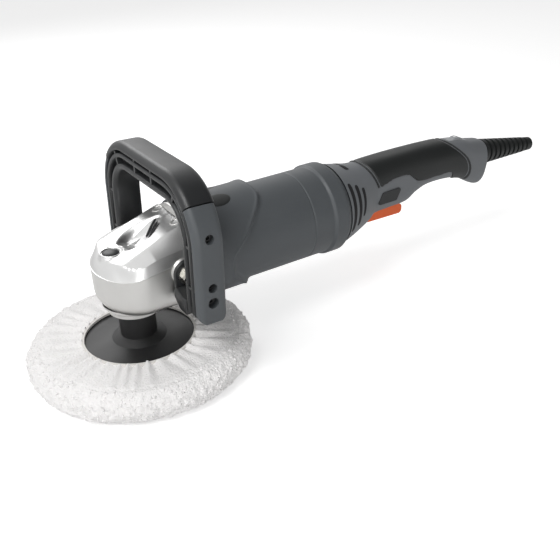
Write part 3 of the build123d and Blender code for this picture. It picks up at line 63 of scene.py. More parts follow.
# ---------------------------------------------------------------------------------------------- materials
@dataclass(frozen=True)
class Finish:
    """One procedural finish.

    Attributes:
        name: Material name.
        color: Linear base colour.
        roughness: Mean roughness.
        metallic: 1 for bare metal.
        grain: Size of the surface grain in metres.
        bump: Height of the grain in metres.
        mottle: Share by which the colour varies.
        sheen: Sheen weight, for cloth.
        coat: Clear coat weight.
    """

    name: str
    color: tuple[float, float, float]
    roughness: float = 0.5
    metallic: float = 0.0
    grain: float = 0.0008
    bump: float = 0.00003
    mottle: float = 0.06
    sheen: float = 0.0
    coat: float = 0.0

    def build(self) -> bpy.types.Material:
        """Makes the node material, or returns it if it exists.

        Returns:
            The material.
        """
        if self.name in bpy.data.materials:
            return bpy.data.materials[self.name]
        material = bpy.data.materials.new(self.name)
        material.use_nodes = True
        nodes, links = material.node_tree.nodes, material.node_tree.links
        shader = nodes["Principled BSDF"]
        shader.inputs["Metallic"].default_value = self.metallic
        shader.inputs["Sheen Weight"].default_value = self.sheen
        shader.inputs["Coat Weight"].default_value = self.coat
        place = nodes.new("ShaderNodeTexCoord")
        fine = nodes.new("ShaderNodeTexNoise")
        fine.inputs["Scale"].default_value = 1 / self.grain
        fine.inputs["Detail"].default_value = 4
        broad = nodes.new("ShaderNodeTexNoise")
        broad.inputs["Scale"].default_value = 45
        broad.inputs["Detail"].default_value = 5
        links.new(place.outputs["Object"], fine.inputs["Vector"])
        links.new(place.outputs["Object"], broad.inputs["Vector"])
        shade = nodes.new("ShaderNodeMix")
        shade.data_type = "RGBA"
        dark = [c * (1 - self.mottle) for c in self.color]
        light = [min(1, c * (1 + self.mottle)) for c in self.color]
        shade.inputs["A"].default_value = (*dark, 1)
        shade.inputs["B"].default_value = (*light, 1)
        links.new(broad.outputs["Fac"], shade.inputs["Factor"])
        links.new(shade.outputs["Result"], shader.inputs["Base Color"])
        rough = nodes.new("ShaderNodeMapRange")
        rough.inputs["To Min"].default_value = max(0.02, self.roughness - 0.08)
        rough.inputs["To Max"].default_value = min(1, self.roughness + 0.08)
        links.new(broad.outputs["Fac"], rough.inputs["Value"])
        links.new(rough.outputs["Result"], shader.inputs["Roughness"])
        bump = nodes.new("ShaderNodeBump")
        bump.inputs["Strength"].default_value = 1
        bump.inputs["Distance"].default_value = self.bump
        links.new(fine.outputs["Fac"], bump.inputs["Height"])
        links.new(bump.outputs["Normal"], shader.inputs["Normal"])
        return material


DARK_PLASTIC = Finish("dark_shell_satin", (0.072, 0.079, 0.085), 0.5, grain=0.0007, bump=0.00002)
LIGHT_PLASTIC = Finish("light_shell_satin", (0.135, 0.143, 0.152), 0.5, grain=0.0007, bump=0.00002)
BLACK_PLASTIC = Finish("moulded_black", (0.016, 0.017, 0.018), 0.42, grain=0.0006, bump=0.00003)
BLACK_RUBBER = Finish("soft_black_grip", (0.013, 0.0145, 0.0145), 0.5, grain=0.0005, bump=0.00005)
# Flat black laid on the surface for slot and vent openings: painted shade where the openings' shadow falls,
# not a part's colour.
PAINTED_SHADE_BLACK = Finish("vent_painted_shade_black", (0.006, 0.006, 0.007), 0.8)
PLATE_BLACK = Finish("plate_black", (0.011, 0.011, 0.0115), 0.5, grain=0.001, bump=0.00004)
# Lighter, smoother copy of the casting for the roof: the lower roughness is a polished finish, the lighter
# colour is painted light where the top faces the lamps.
POLISHED_LIT_CAST = Finish(
    "polished_casting_lit_top", (0.7, 0.7, 0.695), 0.34, 1.0, grain=0.0015, bump=0.00004, mottle=0.04
)
SATIN_CAST = Finish(
    "satin_casting", (0.64, 0.635, 0.62), 0.4, 1.0, grain=0.0009, bump=0.00007, mottle=0.06
)
ZINC = Finish("zinc_plate", (0.68, 0.67, 0.63), 0.26, 1.0, grain=0.0006, bump=0.00002)
BLACKENED = Finish("blackened_steel", (0.09, 0.09, 0.09), 0.4, 1.0)
GROUND_STEEL = Finish("ground_steel", (0.5, 0.5, 0.51), 0.3, 1.0)
COPPER = Finish("copper", (0.72, 0.3, 0.14), 0.35, 1.0)
ORANGE = Finish("trigger_orange", (0.74, 0.115, 0.018), 0.42, grain=0.0008, bump=0.00002)
DIAL_GREY = Finish("dial_grey", (0.3, 0.31, 0.32), 0.45)
# White for the spots on the speed dial: painted highlights standing in for its glints.
WHITE_GLINT_PAINT = Finish("painted_glint_white", (0.8, 0.8, 0.8), 0.5, mottle=0.02)
FLEECE = Finish("white_fleece", (0.9, 0.885, 0.88), 0.95, grain=0.0016, bump=0.0009, mottle=0.04, sheen=0.5)
ELASTIC = Finish("elastic_cloth", (0.74, 0.72, 0.69), 0.9, grain=0.0009, bump=0.0002, sheen=0.3)
FOAM = Finish("open_cell_foam", (0.05, 0.05, 0.05), 0.95, grain=0.0012, bump=0.0003)

CAD_FINISHES: dict[str, Finish] = {
    "bearing_cover": SATIN_CAST,
    "bearing_carrier": SATIN_CAST,
    "spindle_bearing": GROUND_STEEL,
    "needle_bearing": GROUND_STEEL,
    "front_bearing": GROUND_STEEL,
    "rear_bearing": GROUND_STEEL,
    "air_baffle": BLACK_PLASTIC,
    "stator_core": GROUND_STEEL,
    "field_coils": COPPER,
    "brush_holders": ZINC,
    "carbon_brushes": BLACK_RUBBER,
    "brush_springs": GROUND_STEEL,
    "handle_screws": BLACKENED,
    "trigger_pin": GROUND_STEEL,
    "switch": BLACK_PLASTIC,
    "dial_pin": GROUND_STEEL,
    "speed_module": BLACK_PLASTIC,
    "strain_relief": BLACK_RUBBER,
    "d_handle_bolts": ZINC,
    "spindle_lock_spring": GROUND_STEEL,
    "spindle": GROUND_STEEL,
    "ring_gear": GROUND_STEEL,
    "backing_plate": PLATE_BLACK,
    "foam_pad": FOAM,
    "bonnet_elastic": ELASTIC,
    "armature_shaft": GROUND_STEEL,
    "armature_core": GROUND_STEEL,
    "armature_windings": COPPER,
    "commutator": COPPER,
    "fan": BLACK_PLASTIC,
    "pinion": GROUND_STEEL,
    "spindle_lock_pin": GROUND_STEEL,
    "trigger": ORANGE,
    "lock_on_button": BLACK_PLASTIC,
    "speed_dial": DIAL_GREY,
    "d_handle_screws": BLACKENED,
}


# ------------------------------------------------------------------------------------------------- helpers
def smoothstep(low: float, high: float, value: float) -> float:
    """Smooth 0 to 1 ramp between low and high."""
    t = min(1.0, max(0.0, (value - low) / (high - low)))
    return t * t * (3 - 2 * t)


def smooth_min(a: float, b: float, radius: float) -> float:
    """Smaller of two values, with the crease between them rounded."""
    blend = max(radius - abs(a - b), 0) / radius
    return min(a, b) - blend * blend * radius / 4


def along(table: list[tuple[float, ...]], x: float) -> tuple[float, ...]:
    """Catmull-Rom interpolation of a table of rows sorted by their first value.

    Args:
        table: Rows of station and values.
        x: Station wanted.

    Returns:
        The interpolated values.
    """
    last = len(table) - 1
    i = max(0, min(last - 1, next((k - 1 for k, row in enumerate(table) if row[0] > x), last - 1)))
    span = table[i + 1][0] - table[i][0]
    t = min(1.0, max(0.0, (x - table[i][0]) / span))
    rows = [table[max(0, i - 1)], table[i], table[i + 1], table[min(last, i + 2)]]
    values = []
    for column in range(1, len(table[0])):
        slope_in = (rows[2][column] - rows[0][column]) / max(rows[2][0] - rows[0][0], 1e-6) * span
        slope_out = (rows[3][column] - rows[1][column]) / max(rows[3][0] - rows[1][0], 1e-6) * span
        a, b = rows[1][column], rows[2][column]
        values.append(
            (2 * t**3 - 3 * t**2 + 1) * a
            + (t**3 - 2 * t**2 + t) * slope_in
            + (3 * t**2 - 2 * t**3) * b
            + (t**3 - t**2) * slope_out
        )
    return tuple(values)


def new_piece(
    name: str, mesh: bpy.types.Mesh, finish: Finish, body: Body
) -> bpy.types.Object:
    """Links a mesh as a piece that rides on a body.

    Args:
        name: Name of the piece.
        mesh: Its mesh, in metres.
        finish: Its finish.
        body: Body it rides on.

    Returns:
        The new object.
    """
    mesh.name = name
    if not mesh.materials:
        mesh.materials.append(finish.build())
    piece = bpy.data.objects.new(name, mesh)
    bpy.context.scene.collection.objects.link(piece)
    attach(piece, body.value)
    log.info("piece %s rides on %s", name, body.value)
    return piece


def grid_mesh(
    rows: list[list[Vector]], wrap: bool = True, cap_start: bool = False, cap_end: bool = False
) -> bpy.types.Mesh:
    """Mesh of quads through rows of points given in millimetres.

    Args:
        rows: Rows of equally many points.
        wrap: Whether each row closes on itself.
        cap_start: Whether the first row is filled.
        cap_end: Whether the last row is filled.

    Returns:
        A smooth-shaded mesh in metres.
    """
    width = len(rows[0])
    verts = [point * MM for row in rows for point in row]
    faces = []
    for i in range(len(rows) - 1):
        for j in range(width if wrap else width - 1):
            k = (j + 1) % width
            faces.append((i * width + j, i * width + k, (i + 1) * width + k, (i + 1) * width + j))
    if cap_start:
        faces.append(tuple(reversed(range(width))))
    if cap_end:
        faces.append(tuple((len(rows) - 1) * width + j for j in range(width)))
    mesh = bpy.data.meshes.new("grid")
    mesh.from_pydata(verts, [], faces)
    shade_by_angle(mesh, 40)
    return mesh


def shade_by_angle(mesh: bpy.types.Mesh, degrees: float) -> None:
    """Smooth shading with hard edges above an angle, and normals turned outwards."""
    work = bmesh.new()
    work.from_mesh(mesh)
    bmesh.ops.recalc_face_normals(work, faces=work.faces)
    limit = math.radians(degrees)
    for face in work.faces:
        face.smooth = True
    for edge in work.edges:
        edge.smooth = edge.calc_face_angle(0) < limit
    work.to_mesh(mesh)
    work.free()


def prism_mesh(
    outline: Plan,
    to_space: Callable[[float, float, float], Vector],
    low: float,
    high: float,
    bevel: float,
) -> bpy.types.Mesh:
    """Prism with bevelled edges, from an outline in its own plane.

    Args:
        outline: Corners in millimetres.
        to_space: Maps the plane's two values and the depth to a point.
        low: Depth of one face.
        high: Depth of the other face.
        bevel: Width of the bevel in millimetres.

    Returns:
        The mesh in metres.
    """
    work = bmesh.new()
    lower = [work.verts.new(to_space(a, b, low) * MM) for a, b in outline]
    upper = [work.verts.new(to_space(a, b, high) * MM) for a, b in outline]
    work.faces.new(lower)
    work.faces.new(upper)
    for i in range(len(outline)):
        j = (i + 1) % len(outline)
        work.faces.new((lower[i], lower[j], upper[j], upper[i]))
    bmesh.ops.recalc_face_normals(work, faces=work.faces)
    sharp = [edge for edge in work.edges if edge.calc_face_angle(0) > math.radians(30)]
    bmesh.ops.bevel(
        work, geom=sharp, offset=bevel * MM, segments=3, profile=0.5, affect="EDGES", clamp_overlap=True
    )
    mesh = bpy.data.meshes.new("prism")
    work.to_mesh(mesh)
    work.free()
    shade_by_angle(mesh, 40)
    return mesh


def arc_points(
    cx: float, cy: float, radius: float, start: float, end: float, count: int
) -> Plan:
    """Points on an arc, with angles in degrees."""
    step = (end - start) / (count - 1)
    angles = [math.radians(start + i * step) for i in range(count)]
    return [(cx + radius * math.cos(a), cy + radius * math.sin(a)) for a in angles]


def ring_angles(count: int) -> list[float]:
    """Equal steps round a full turn, in radians."""
    return [FULL_TURN * j / count for j in range(count)]


def turned(profile: Plan, x: float, turns: int) -> list[list[Vector]]:
    """Rows of a body turned about an upright axis.

    Args:
        profile: Radii and heights.
        x: Place of the axis along X.
        turns: Points in each row.

    Returns:
        One row for each pair of the profile.
    """
    angles = ring_angles(turns)
    return [[Vector((x + r * math.cos(a), r * math.sin(a), z)) for a in angles] for r, z in profile]


def new_tree(
    name: str, sizes: dict[str, float]
) -> tuple[bpy.types.NodeTree, bpy.types.Node, bpy.types.Node]:
    """Starts a geometry node tree with one named input for each size.

    Args:
        name: Name of the tree.
        sizes: Names of the inputs and their values.

    Returns:
        The tree, its input node and its output node.
    """
    tree = bpy.data.node_groups.new(name, "GeometryNodeTree")
    tree.interface.new_socket("Geometry", in_out="INPUT", socket_type="NodeSocketGeometry")
    for label, value in sizes.items():
        kind = "NodeSocketInt" if isinstance(value, int) else "NodeSocketFloat"
        tree.interface.new_socket(label, in_out="INPUT", socket_type=kind)
    tree.interface.new_socket("Geometry", in_out="OUTPUT", socket_type="NodeSocketGeometry")
    return tree, tree.nodes.new("NodeGroupInput"), tree.nodes.new("NodeGroupOutput")


def close_tree(
    tree: bpy.types.NodeTree, last: bpy.types.NodeSocket, out: bpy.types.Node, finish: Finish
) -> None:
    """Ends a tree in Realize Instances and Set Material."""
    realize = tree.nodes.new("GeometryNodeRealizeInstances")
    paint = tree.nodes.new("GeometryNodeSetMaterial")
    paint.inputs["Material"].default_value = finish.build()
    tree.links.new(last, realize.inputs["Geometry"])
    tree.links.new(realize.outputs["Geometry"], paint.inputs["Geometry"])
    tree.links.new(paint.outputs["Geometry"], out.inputs["Geometry"])


def grow_tree(tree: bpy.types.NodeTree, base: bpy.types.Mesh, sizes: dict[str, float]) -> bpy.types.Mesh:
    """Runs a tree on a mesh and returns the result as a plain mesh.

    Args:
        tree: The tree.
        base: Mesh that goes in.
        sizes: Values of the tree's named inputs.

    Returns:
        The mesh that comes out.
    """
    carrier = bpy.data.objects.new("tree_carrier", base)
    bpy.context.scene.collection.objects.link(carrier)
    modifier = carrier.modifiers.new("tree", "NODES")
    modifier.node_group = tree
    for item in tree.interface.items_tree:
        if item.in_out == "INPUT" and item.name in sizes:
            modifier[item.identifier] = sizes[item.name]
    graph = bpy.context.evaluated_depsgraph_get()
    mesh = bpy.data.meshes.new_from_object(carrier.evaluated_get(graph))
    bpy.data.objects.remove(carrier)
    return mesh


def carve(piece: bpy.types.Object, cutters: list[bpy.types.Mesh]) -> None:
    """Cuts meshes out of a piece and keeps the result as its plain mesh."""
    for number, mesh in enumerate(cutters):
        cutter = bpy.data.objects.new(f"cutter_{number}", mesh)
        bpy.context.scene.collection.objects.link(cutter)
        modifier = piece.modifiers.new("cut", "BOOLEAN")
        modifier.operation = "DIFFERENCE"
        modifier.solver = "EXACT"
        modifier.object = cutter
        graph = bpy.context.evaluated_depsgraph_get()
        result = bpy.data.meshes.new_from_object(piece.evaluated_get(graph))
        piece.modifiers.remove(modifier)
        bpy.data.objects.remove(cutter)
        piece.data = result
    shade_by_angle(piece.data, 35)


# -------------------------------------------------------------------------------------------------- bonnet
@dataclass
class Bonnet:
    """Gathered fleece bonnet with its opening held by an elastic."""

    radius: float = 98.2
    opening: float = 50.2
    rim: float = 15.2
    edge_z: float = 29.4
    turns: int = 480
    folds: int = 34
    seam_r: float = 85.5
    seam_depth: float = 1.3
    fold_height: float = 2.9
    fold_reach: float = 37.0
    swell_limit: float = 1.5
    nap_stand: float = 2.6

    def top_height(self, r: float) -> float:
        """Height of the cloth over the pad at a radius."""
        share = (r - self.opening) / (self.radius - self.rim - self.opening)
        return self.edge_z + (2 * self.rim - self.edge_z) * smoothstep(0, 1, share)

    def profile(self) -> list[tuple[float, float, float]]:
        """Radius, height and share of gathering, from the opening over the rim to the middle below."""
        rim_r = self.radius - self.rim
        points = [(self.opening - 0.6, self.edge_z - 2.2, 0.7)]
        for i in range(26):
            r = self.opening + (rim_r - self.opening) * i / 25
            points.append((r, self.top_height(r), 1.0))
        for i in range(1, 30):
            a = math.pi / 2 - math.pi * i / 30
            points.append((rim_r + self.rim * math.cos(a), self.rim + self.rim * math.sin(a), 0.05))
        for i in range(9):
            points.append((rim_r * (1 - i / 9) + 0.5, 0.35, 0))
        return points

    def fold(self, angle: float) -> float:
        """Irregular fold height round the opening, from -1 to 1."""
        wander = 0.5 * math.sin(3 * angle + 0.7) + 0.35 * math.sin(7 * angle + 2.1)
        wave = math.sin(self.folds * angle + 2.6 * wander)
        swell = 0.6 + 0.4 * math.sin(5 * angle + 1.3) * math.sin(11 * angle)
        return wave * swell

    def point(self, angle: float, r: float, z: float, gather: float) -> Vector:
        """Point of the cloth with its gathers and its lumpy nap, in millimetres."""
        spread = max(0.0, 1 - (r - self.opening) / self.fold_reach)
        drift = 0.0012 * (r - self.opening) * math.sin(9 * angle)
        height = self.fold(angle + drift) * self.fold_height * gather * spread**0.8
        direction = Vector((math.cos(angle), math.sin(angle), 0))
        place = Vector((direction.x * r, direction.y * r, z))
        lump = noise.noise(place * 0.06) * 1.3
        nap = noise.noise(place * 0.22) * 1.9 + noise.noise(place * 0.6) * 1.0
        nap *= 0.35 + 0.65 * smoothstep(80, 92, r)
        outward = 0.0 if z < 1 and gather == 0 else lump + nap
        height -= self.seam_depth * math.exp(-(((r - self.seam_r) / 1.1) ** 2)) * (1 if z > self.rim else 0)
        side = smoothstep(self.radius - self.rim, self.radius, r)
        r_new = min(r + outward * side, self.radius + self.nap_stand)
        z_new = max(0.3, z + height + outward * (1 - side) * (0.5 if gather else 0))
        return direction * r_new + Vector((0, 0, z_new))

    def build(self) -> bpy.types.Object:
        """Returns:
            The cloth piece.
        """
        rows = [
            [self.point(a, r, z, gather) for a in ring_angles(self.turns)]
            for r, z, gather in self.profile()
        ]
        mesh = grid_mesh(rows, cap_end=True)
        mesh.materials.append(fleece_material())
        piece = new_piece("fleece_bonnet", mesh, FLEECE, Body.SPINDLE)
        self.relax(piece)
        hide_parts("bonnet")
        self.add_tufts(piece)
        return piece

    def add_tufts(self, cloth: bpy.types.Object) -> None:
        """Scatters short fleece tufts over the rim, from a tree with a fixed seed."""
        sizes = {
            "Density": 42000.0, "Tuft radius": 1.55 * MM, "Inner radius": 84 * MM, "Seed": 11,
        }
        tree, given, out = new_tree("fleece_tufts", sizes)
        join, add = tree.links.new, tree.nodes.new
        place = add("GeometryNodeInputPosition")
        parts = add("ShaderNodeSeparateXYZ")
        flat = add("ShaderNodeCombineXYZ")
        reach = add("ShaderNodeVectorMath")
        reach.operation = "LENGTH"
        outside = add("FunctionNodeCompare")
        outside.operation = "GREATER_THAN"
        join(place.outputs["Position"], parts.inputs["Vector"])
        join(parts.outputs["X"], flat.inputs["X"])
        join(parts.outputs["Y"], flat.inputs["Y"])
        join(flat.outputs["Vector"], reach.inputs[0])
        join(reach.outputs["Value"], outside.inputs["A"])
        join(given.outputs["Inner radius"], outside.inputs["B"])
        scatter = add("GeometryNodeDistributePointsOnFaces")
        join(given.outputs["Geometry"], scatter.inputs["Mesh"])
        join(outside.outputs["Result"], scatter.inputs["Selection"])
        join(given.outputs["Density"], scatter.inputs["Density"])
        join(given.outputs["Seed"], scatter.inputs["Seed"])
        tuft = add("GeometryNodeMeshIcoSphere")
        tuft.inputs["Subdivisions"].default_value = 1
        join(given.outputs["Tuft radius"], tuft.inputs["Radius"])
        size = add("FunctionNodeRandomValue")
        size.data_type = "FLOAT_VECTOR"
        size.inputs["Min"].default_value = (0.5, 0.5, 0.35)
        size.inputs["Max"].default_value = (1.35, 1.1, 0.75)
        size.inputs["Seed"].default_value = 5
        spread = add("GeometryNodeInstanceOnPoints")
        join(scatter.outputs["Points"], spread.inputs["Points"])
        join(scatter.outputs["Rotation"], spread.inputs["Rotation"])
        join(tuft.outputs["Mesh"], spread.inputs["Instance"])
        join(size.outputs["Value"], spread.inputs["Scale"])
        close_tree(tree, spread.outputs["Instances"], out, FLEECE)
        mesh = grow_tree(tree, cloth.data, sizes)
        low = 0.25 * MM
        for vert in mesh.vertices:
            vert.co.z = max(vert.co.z, low)
        for face in mesh.polygons:
            face.use_smooth = True
        tufts = new_piece("fleece_tufts", mesh, FLEECE, Body.SPINDLE)

    def relax(self, piece: bpy.types.Object) -> None:
        """Lets the cloth swell over the pad for a few frames, and keeps a capped share of the movement."""
        before = [vert.co.copy() for vert in piece.data.vertices]
        pins = piece.vertex_groups.new(name="pins")
        held = [
            vert.index
            for vert in piece.data.vertices
            if vert.co.z < 3 * MM or math.hypot(vert.co.x, vert.co.y) < (self.opening + 1) * MM
        ]
        pins.add(held, 1, "REPLACE")
        cloth = piece.modifiers.new("cloth", "CLOTH")
        cloth.settings.use_pressure = True
        cloth.settings.uniform_pressure_force = 3
        cloth.settings.effector_weights.gravity = 0
        cloth.settings.quality = 3
        cloth.settings.vertex_group_mass = "pins"
        cloth.settings.bending_stiffness = 0.2
        for number in range(1, 9):
            bpy.context.scene.frame_set(number)
        graph = bpy.context.evaluated_depsgraph_get()
        moved = [vert.co.copy() for vert in piece.evaluated_get(graph).data.vertices]
        piece.modifiers.remove(cloth)
        bpy.context.scene.frame_set(1)
        for vert, old, new in zip(piece.data.vertices, before, moved):
            shift = new - old
            if shift.length > self.swell_limit * MM:
                shift = shift.normalized() * self.swell_limit * MM
            spot = old + shift
            reach = math.hypot(spot.x, spot.y)
            limit = (self.radius + self.nap_stand) * MM
            if reach > limit:
                spot.x *= limit / reach
                spot.y *= limit / reach
            spot.z = min(max(spot.z, 0.3 * MM), 33 * MM)
            vert.co = spot
        piece.vertex_groups.clear()


def fleece_material() -> bpy.types.Material:
    """White looped fleece: voronoi loops, broad soiling and sheen.

    Returns:
        The material.
    """
    material = FLEECE.build()
    nodes, links = material.node_tree.nodes, material.node_tree.links
    place = next(node for node in nodes if node.bl_idname == "ShaderNodeTexCoord")
    bump = next(node for node in nodes if node.bl_idname == "ShaderNodeBump")
    loops = nodes.new("ShaderNodeTexVoronoi")
    loops.inputs["Scale"].default_value = 520
    links.new(place.outputs["Object"], loops.inputs["Vector"])
    second = nodes.new("ShaderNodeBump")
    second.inputs["Distance"].default_value = 0.0006
    links.new(loops.outputs["Distance"], second.inputs["Height"])
    links.new(bump.outputs["Normal"], second.inputs["Normal"])
    links.new(second.outputs["Normal"], nodes["Principled BSDF"].inputs["Normal"])
    return material


# ------------------------------------------------------------------------------------------------ gear head
@dataclass
class GearHead:
    """Cast gear head: round front, sharp rim, side facets, scooped roof and a square rear flange."""

    radius: float = 42.0
    nose: float = 31.0
    back_x: float = 43.0
    bowl_r: float = 29.0
    floor_z: float = 64.0
    bowl_top_z: float = 77.0
    roof_z0: float = 113.0
    lock_x: float = -14.5
    slope: float = 0.364
    around: int = 260
    slots: tuple[tuple[float, float], ...] = ((22.4, -8.6), (23.2, -3.4), (24.0, 1.8))
    scoop_front: tuple[float, float] = (-10.5, -3.5)
    scoop_rear: tuple[float, float] = (35.0, 4.5)

    def outline(self, inset: float) -> Plan:
        """Plan of the head moved in from its wall."""
        r = self.radius - inset
        straight = self.around // 4
        curve = self.around // 2
        back = self.around - 2 * straight - curve
        points = [(self.back_x * (1 - i / straight), -r) for i in range(straight)]
        points += [
            (-(self.nose - inset * 0.9) * math.sin(math.pi * i / curve), -r * math.cos(math.pi * i / curve))
            for i in range(curve)
        ]
        points += [(self.back_x * i / straight, r) for i in range(straight)]
        points += [(self.back_x, r - 2 * r * i / back) for i in range(back)]
        return points

    def rim_z(self, x: float) -> float:
        """Height of the sharp rim."""
        return 100 + 0.155 * max(0.0, x + 20)

    def scoop(self, x: float, y: float) -> float:
        """Depth of the teardrop scoop in the roof."""
        ax = self.scoop_rear[0] - self.scoop_front[0]
        ay = self.scoop_rear[1] - self.scoop_front[1]
        length = math.hypot(ax, ay)
        dx, dy = x - self.scoop_front[0], y - self.scoop_front[1]
        p = (dx * ax + dy * ay) / length**2
        q = (dy * ax - dx * ay) / length
        if not 0 < p < 1:
            return 0.0
        half = 16.0 * math.sin(math.pi * p**0.75) ** 0.55
        ramp = smoothstep(0, 0.4, p) * (1 - 0.75 * smoothstep(0.45, 0.95, p))
        return 6.5 * ramp * smoothstep(0, 0.5, 1 - abs(q) / max(half, 0.01))

    def roof(self, x: float, y: float, inset: float) -> float:
        """Height of the upper surface."""
        plateau = self.roof_z0 + self.slope * (x - self.lock_x)
        ridge = 28.0 - 0.055 * (x + 30)
        low = 103 + 0.3 * min(x + 30, 38) + 0.12 * max(0.0, x - 8)
        fall = (plateau - low) / (40 - ridge)
        facet = plateau - fall * (abs(y) - ridge)
        z = smooth_min(plateau, facet, 0.7)
        steep = 1.5 + 3.6 * smoothstep(-22, 6, x)
        bevel = self.rim_z(x) + steep * inset
        z = smooth_min(z, bevel, 0.7 + 5.0 * smoothstep(-12, -26, x) if x < -12 else 0.7)
        z -= self.scoop(x, y)
        near_button = math.hypot(x - self.lock_x, y)
        return z + (self.roof_z0 - 0.4 - z) * (1 - smoothstep(8.6, 11.0, near_button))

    def build(self) -> None:
        """Makes the casting, its flange, roof slots, bosses and the lock button's rim."""
        rows = []
        for z, inset in ((self.floor_z, self.radius - 24), (self.floor_z, self.radius - self.bowl_r + 1)):
            rows.append([Vector((x, y, z)) for x, y in self.outline(inset)])
        steps = 10
        for i in range(steps + 1):
            a = math.pi / 2 * i / steps
            inset = (self.radius - self.bowl_r) * (1 - math.sin(a))
            z = self.floor_z + 0.6 + (self.bowl_top_z - self.floor_z - 0.6) * (1 - math.cos(a))
            rows.append([Vector((x, y, z)) for x, y in self.outline(inset)])
        for share in (0.3, 0.6, 0.9, 0.99):
            rows.append([
                Vector((x, y, self.bowl_top_z + (self.rim_z(x) - self.bowl_top_z) * share))
                for x, y in self.outline(0)
            ])
        wall_rows = len(rows)
        rows.append([Vector((x, y, self.rim_z(x) - 0.05)) for x, y in self.outline(-0.5)])
        insets = [0.0, 0.4, 0.9, 1.5, 2.2, 3.0, 4.0] + [5 + 0.85 * i for i in range(43)]
        for inset in insets:
            rows.append([Vector((x, y, self.roof(x, y, inset))) for x, y in self.outline(inset)])
        mesh = grid_mesh(rows, cap_start=True, cap_end=True)
        mesh.materials.append(SATIN_CAST.build())
        mesh.materials.append(POLISHED_LIT_CAST.build())
        # The roof faces take the lighter copy: painted light on the top, while the walls keep the satin
        # casting.
        for number, face in enumerate(mesh.polygons):
            face.material_index = 1 if number >= wall_rows * self.around else 0
        shade_by_angle(mesh, 28)
        head = new_piece("gear_head_casting", mesh, SATIN_CAST, Body.HOUSING)
        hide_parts("gear_housing")
        self.add_flange()
        self.add_neck()
        self.add_slots()
        self.add_bosses()
        self.add_screws()

    def add_flange(self) -> None:
        """Rounded flange against the motor housing."""
        outline = [(42.6 * y, 43.6 * z) for y, z in arc_points(0, 0, 1, 0, 355, 72)]
        mesh = prism_mesh(outline, lambda a, b, d: Vector((d, a, 96 + b)), 42.0, 47.9, 1.0)
        new_piece("gear_head_flange", mesh, SATIN_CAST, Body.HOUSING)

    def add_neck(self) -> None:
        """Stepped neck round the lower bearing."""
        profile = [
            (20.0, 60.2), (23.5, 60.2), (23.5, 62.6), (24.2, 63.0), (27.0, 63.2), (27.5, 63.6), (27.5, 65.5),
        ]
        mesh = grid_mesh(turned(profile, 0.0, 96))
        new_piece("neck_step", mesh, SATIN_CAST, Body.HOUSING)

    def add_slots(self) -> None:
        """Three slots at the rear of the scoop, drawn as raised black strips: painted shade in place of open
        slots.
        """
        direction = Vector((0.82, 0.57))
        across = Vector((-direction.y, direction.x))
        for number, centre in enumerate(self.slots):
            rows = []
            for i in range(17):
                run = (i / 16 - 0.5) * 18
                half = 1.5 * math.sqrt(max(0.02, 1 - (2 * i / 16 - 1) ** 4))
                row = []
                for side in (-1, -0.5, 0, 0.5, 1):
                    x = centre[0] + direction.x * run + across.x * side * half
                    y = centre[1] + direction.y * run + across.y * side * half
                    row.append(Vector((x, y, self.roof(x, y, 20) + 0.75 - 0.3 * abs(side))))
                rows.append(row)
            mesh = grid_mesh(rows, wrap=False)
            new_piece(f"roof_slot_shade_{number}", mesh, PAINTED_SHADE_BLACK, Body.HOUSING)

    def add_screws(self) -> None:
        """Heads of the screws that hold the casting to the motor housing, sunk in the flange."""
        sizes = {"Count": 4, "Ring radius": 36 * MM, "Head radius": 2.6 * MM, "Head height": 1.4 * MM}
        tree, given, out = new_tree("ring_of_screws", sizes)
        ring = tree.nodes.new("GeometryNodeMeshCircle")
        head = tree.nodes.new("GeometryNodeMeshCylinder")
        head.inputs["Vertices"].default_value = 32
        spread = tree.nodes.new("GeometryNodeInstanceOnPoints")
        eighth = tree.nodes.new("GeometryNodeTransform")
        eighth.inputs["Rotation"].default_value = (0, 0, math.pi / 4)
        stand = tree.nodes.new("GeometryNodeTransform")
        stand.inputs["Rotation"].default_value = (0, math.pi / 2, 0)
        stand.inputs["Translation"].default_value = (41.6 * MM, 0, 96 * MM)
        join = tree.links.new
        join(given.outputs["Count"], ring.inputs["Vertices"])
        join(given.outputs["Ring radius"], ring.inputs["Radius"])
        join(given.outputs["Head radius"], head.inputs["Radius"])
        join(given.outputs["Head height"], head.inputs["Depth"])
        join(ring.outputs["Mesh"], spread.inputs["Points"])
        join(head.outputs["Mesh"], spread.inputs["Instance"])
        join(spread.outputs["Instances"], eighth.inputs["Geometry"])
        join(eighth.outputs["Geometry"], stand.inputs["Geometry"])
        close_tree(tree, stand.outputs["Geometry"], out, ZINC)
        mesh = grow_tree(tree, bpy.data.meshes.new("no_mesh"), sizes)
        shade_by_angle(mesh, 40)
        heads = new_piece("flange_screws", mesh, ZINC, Body.HOUSING)
        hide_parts("housing_screws")

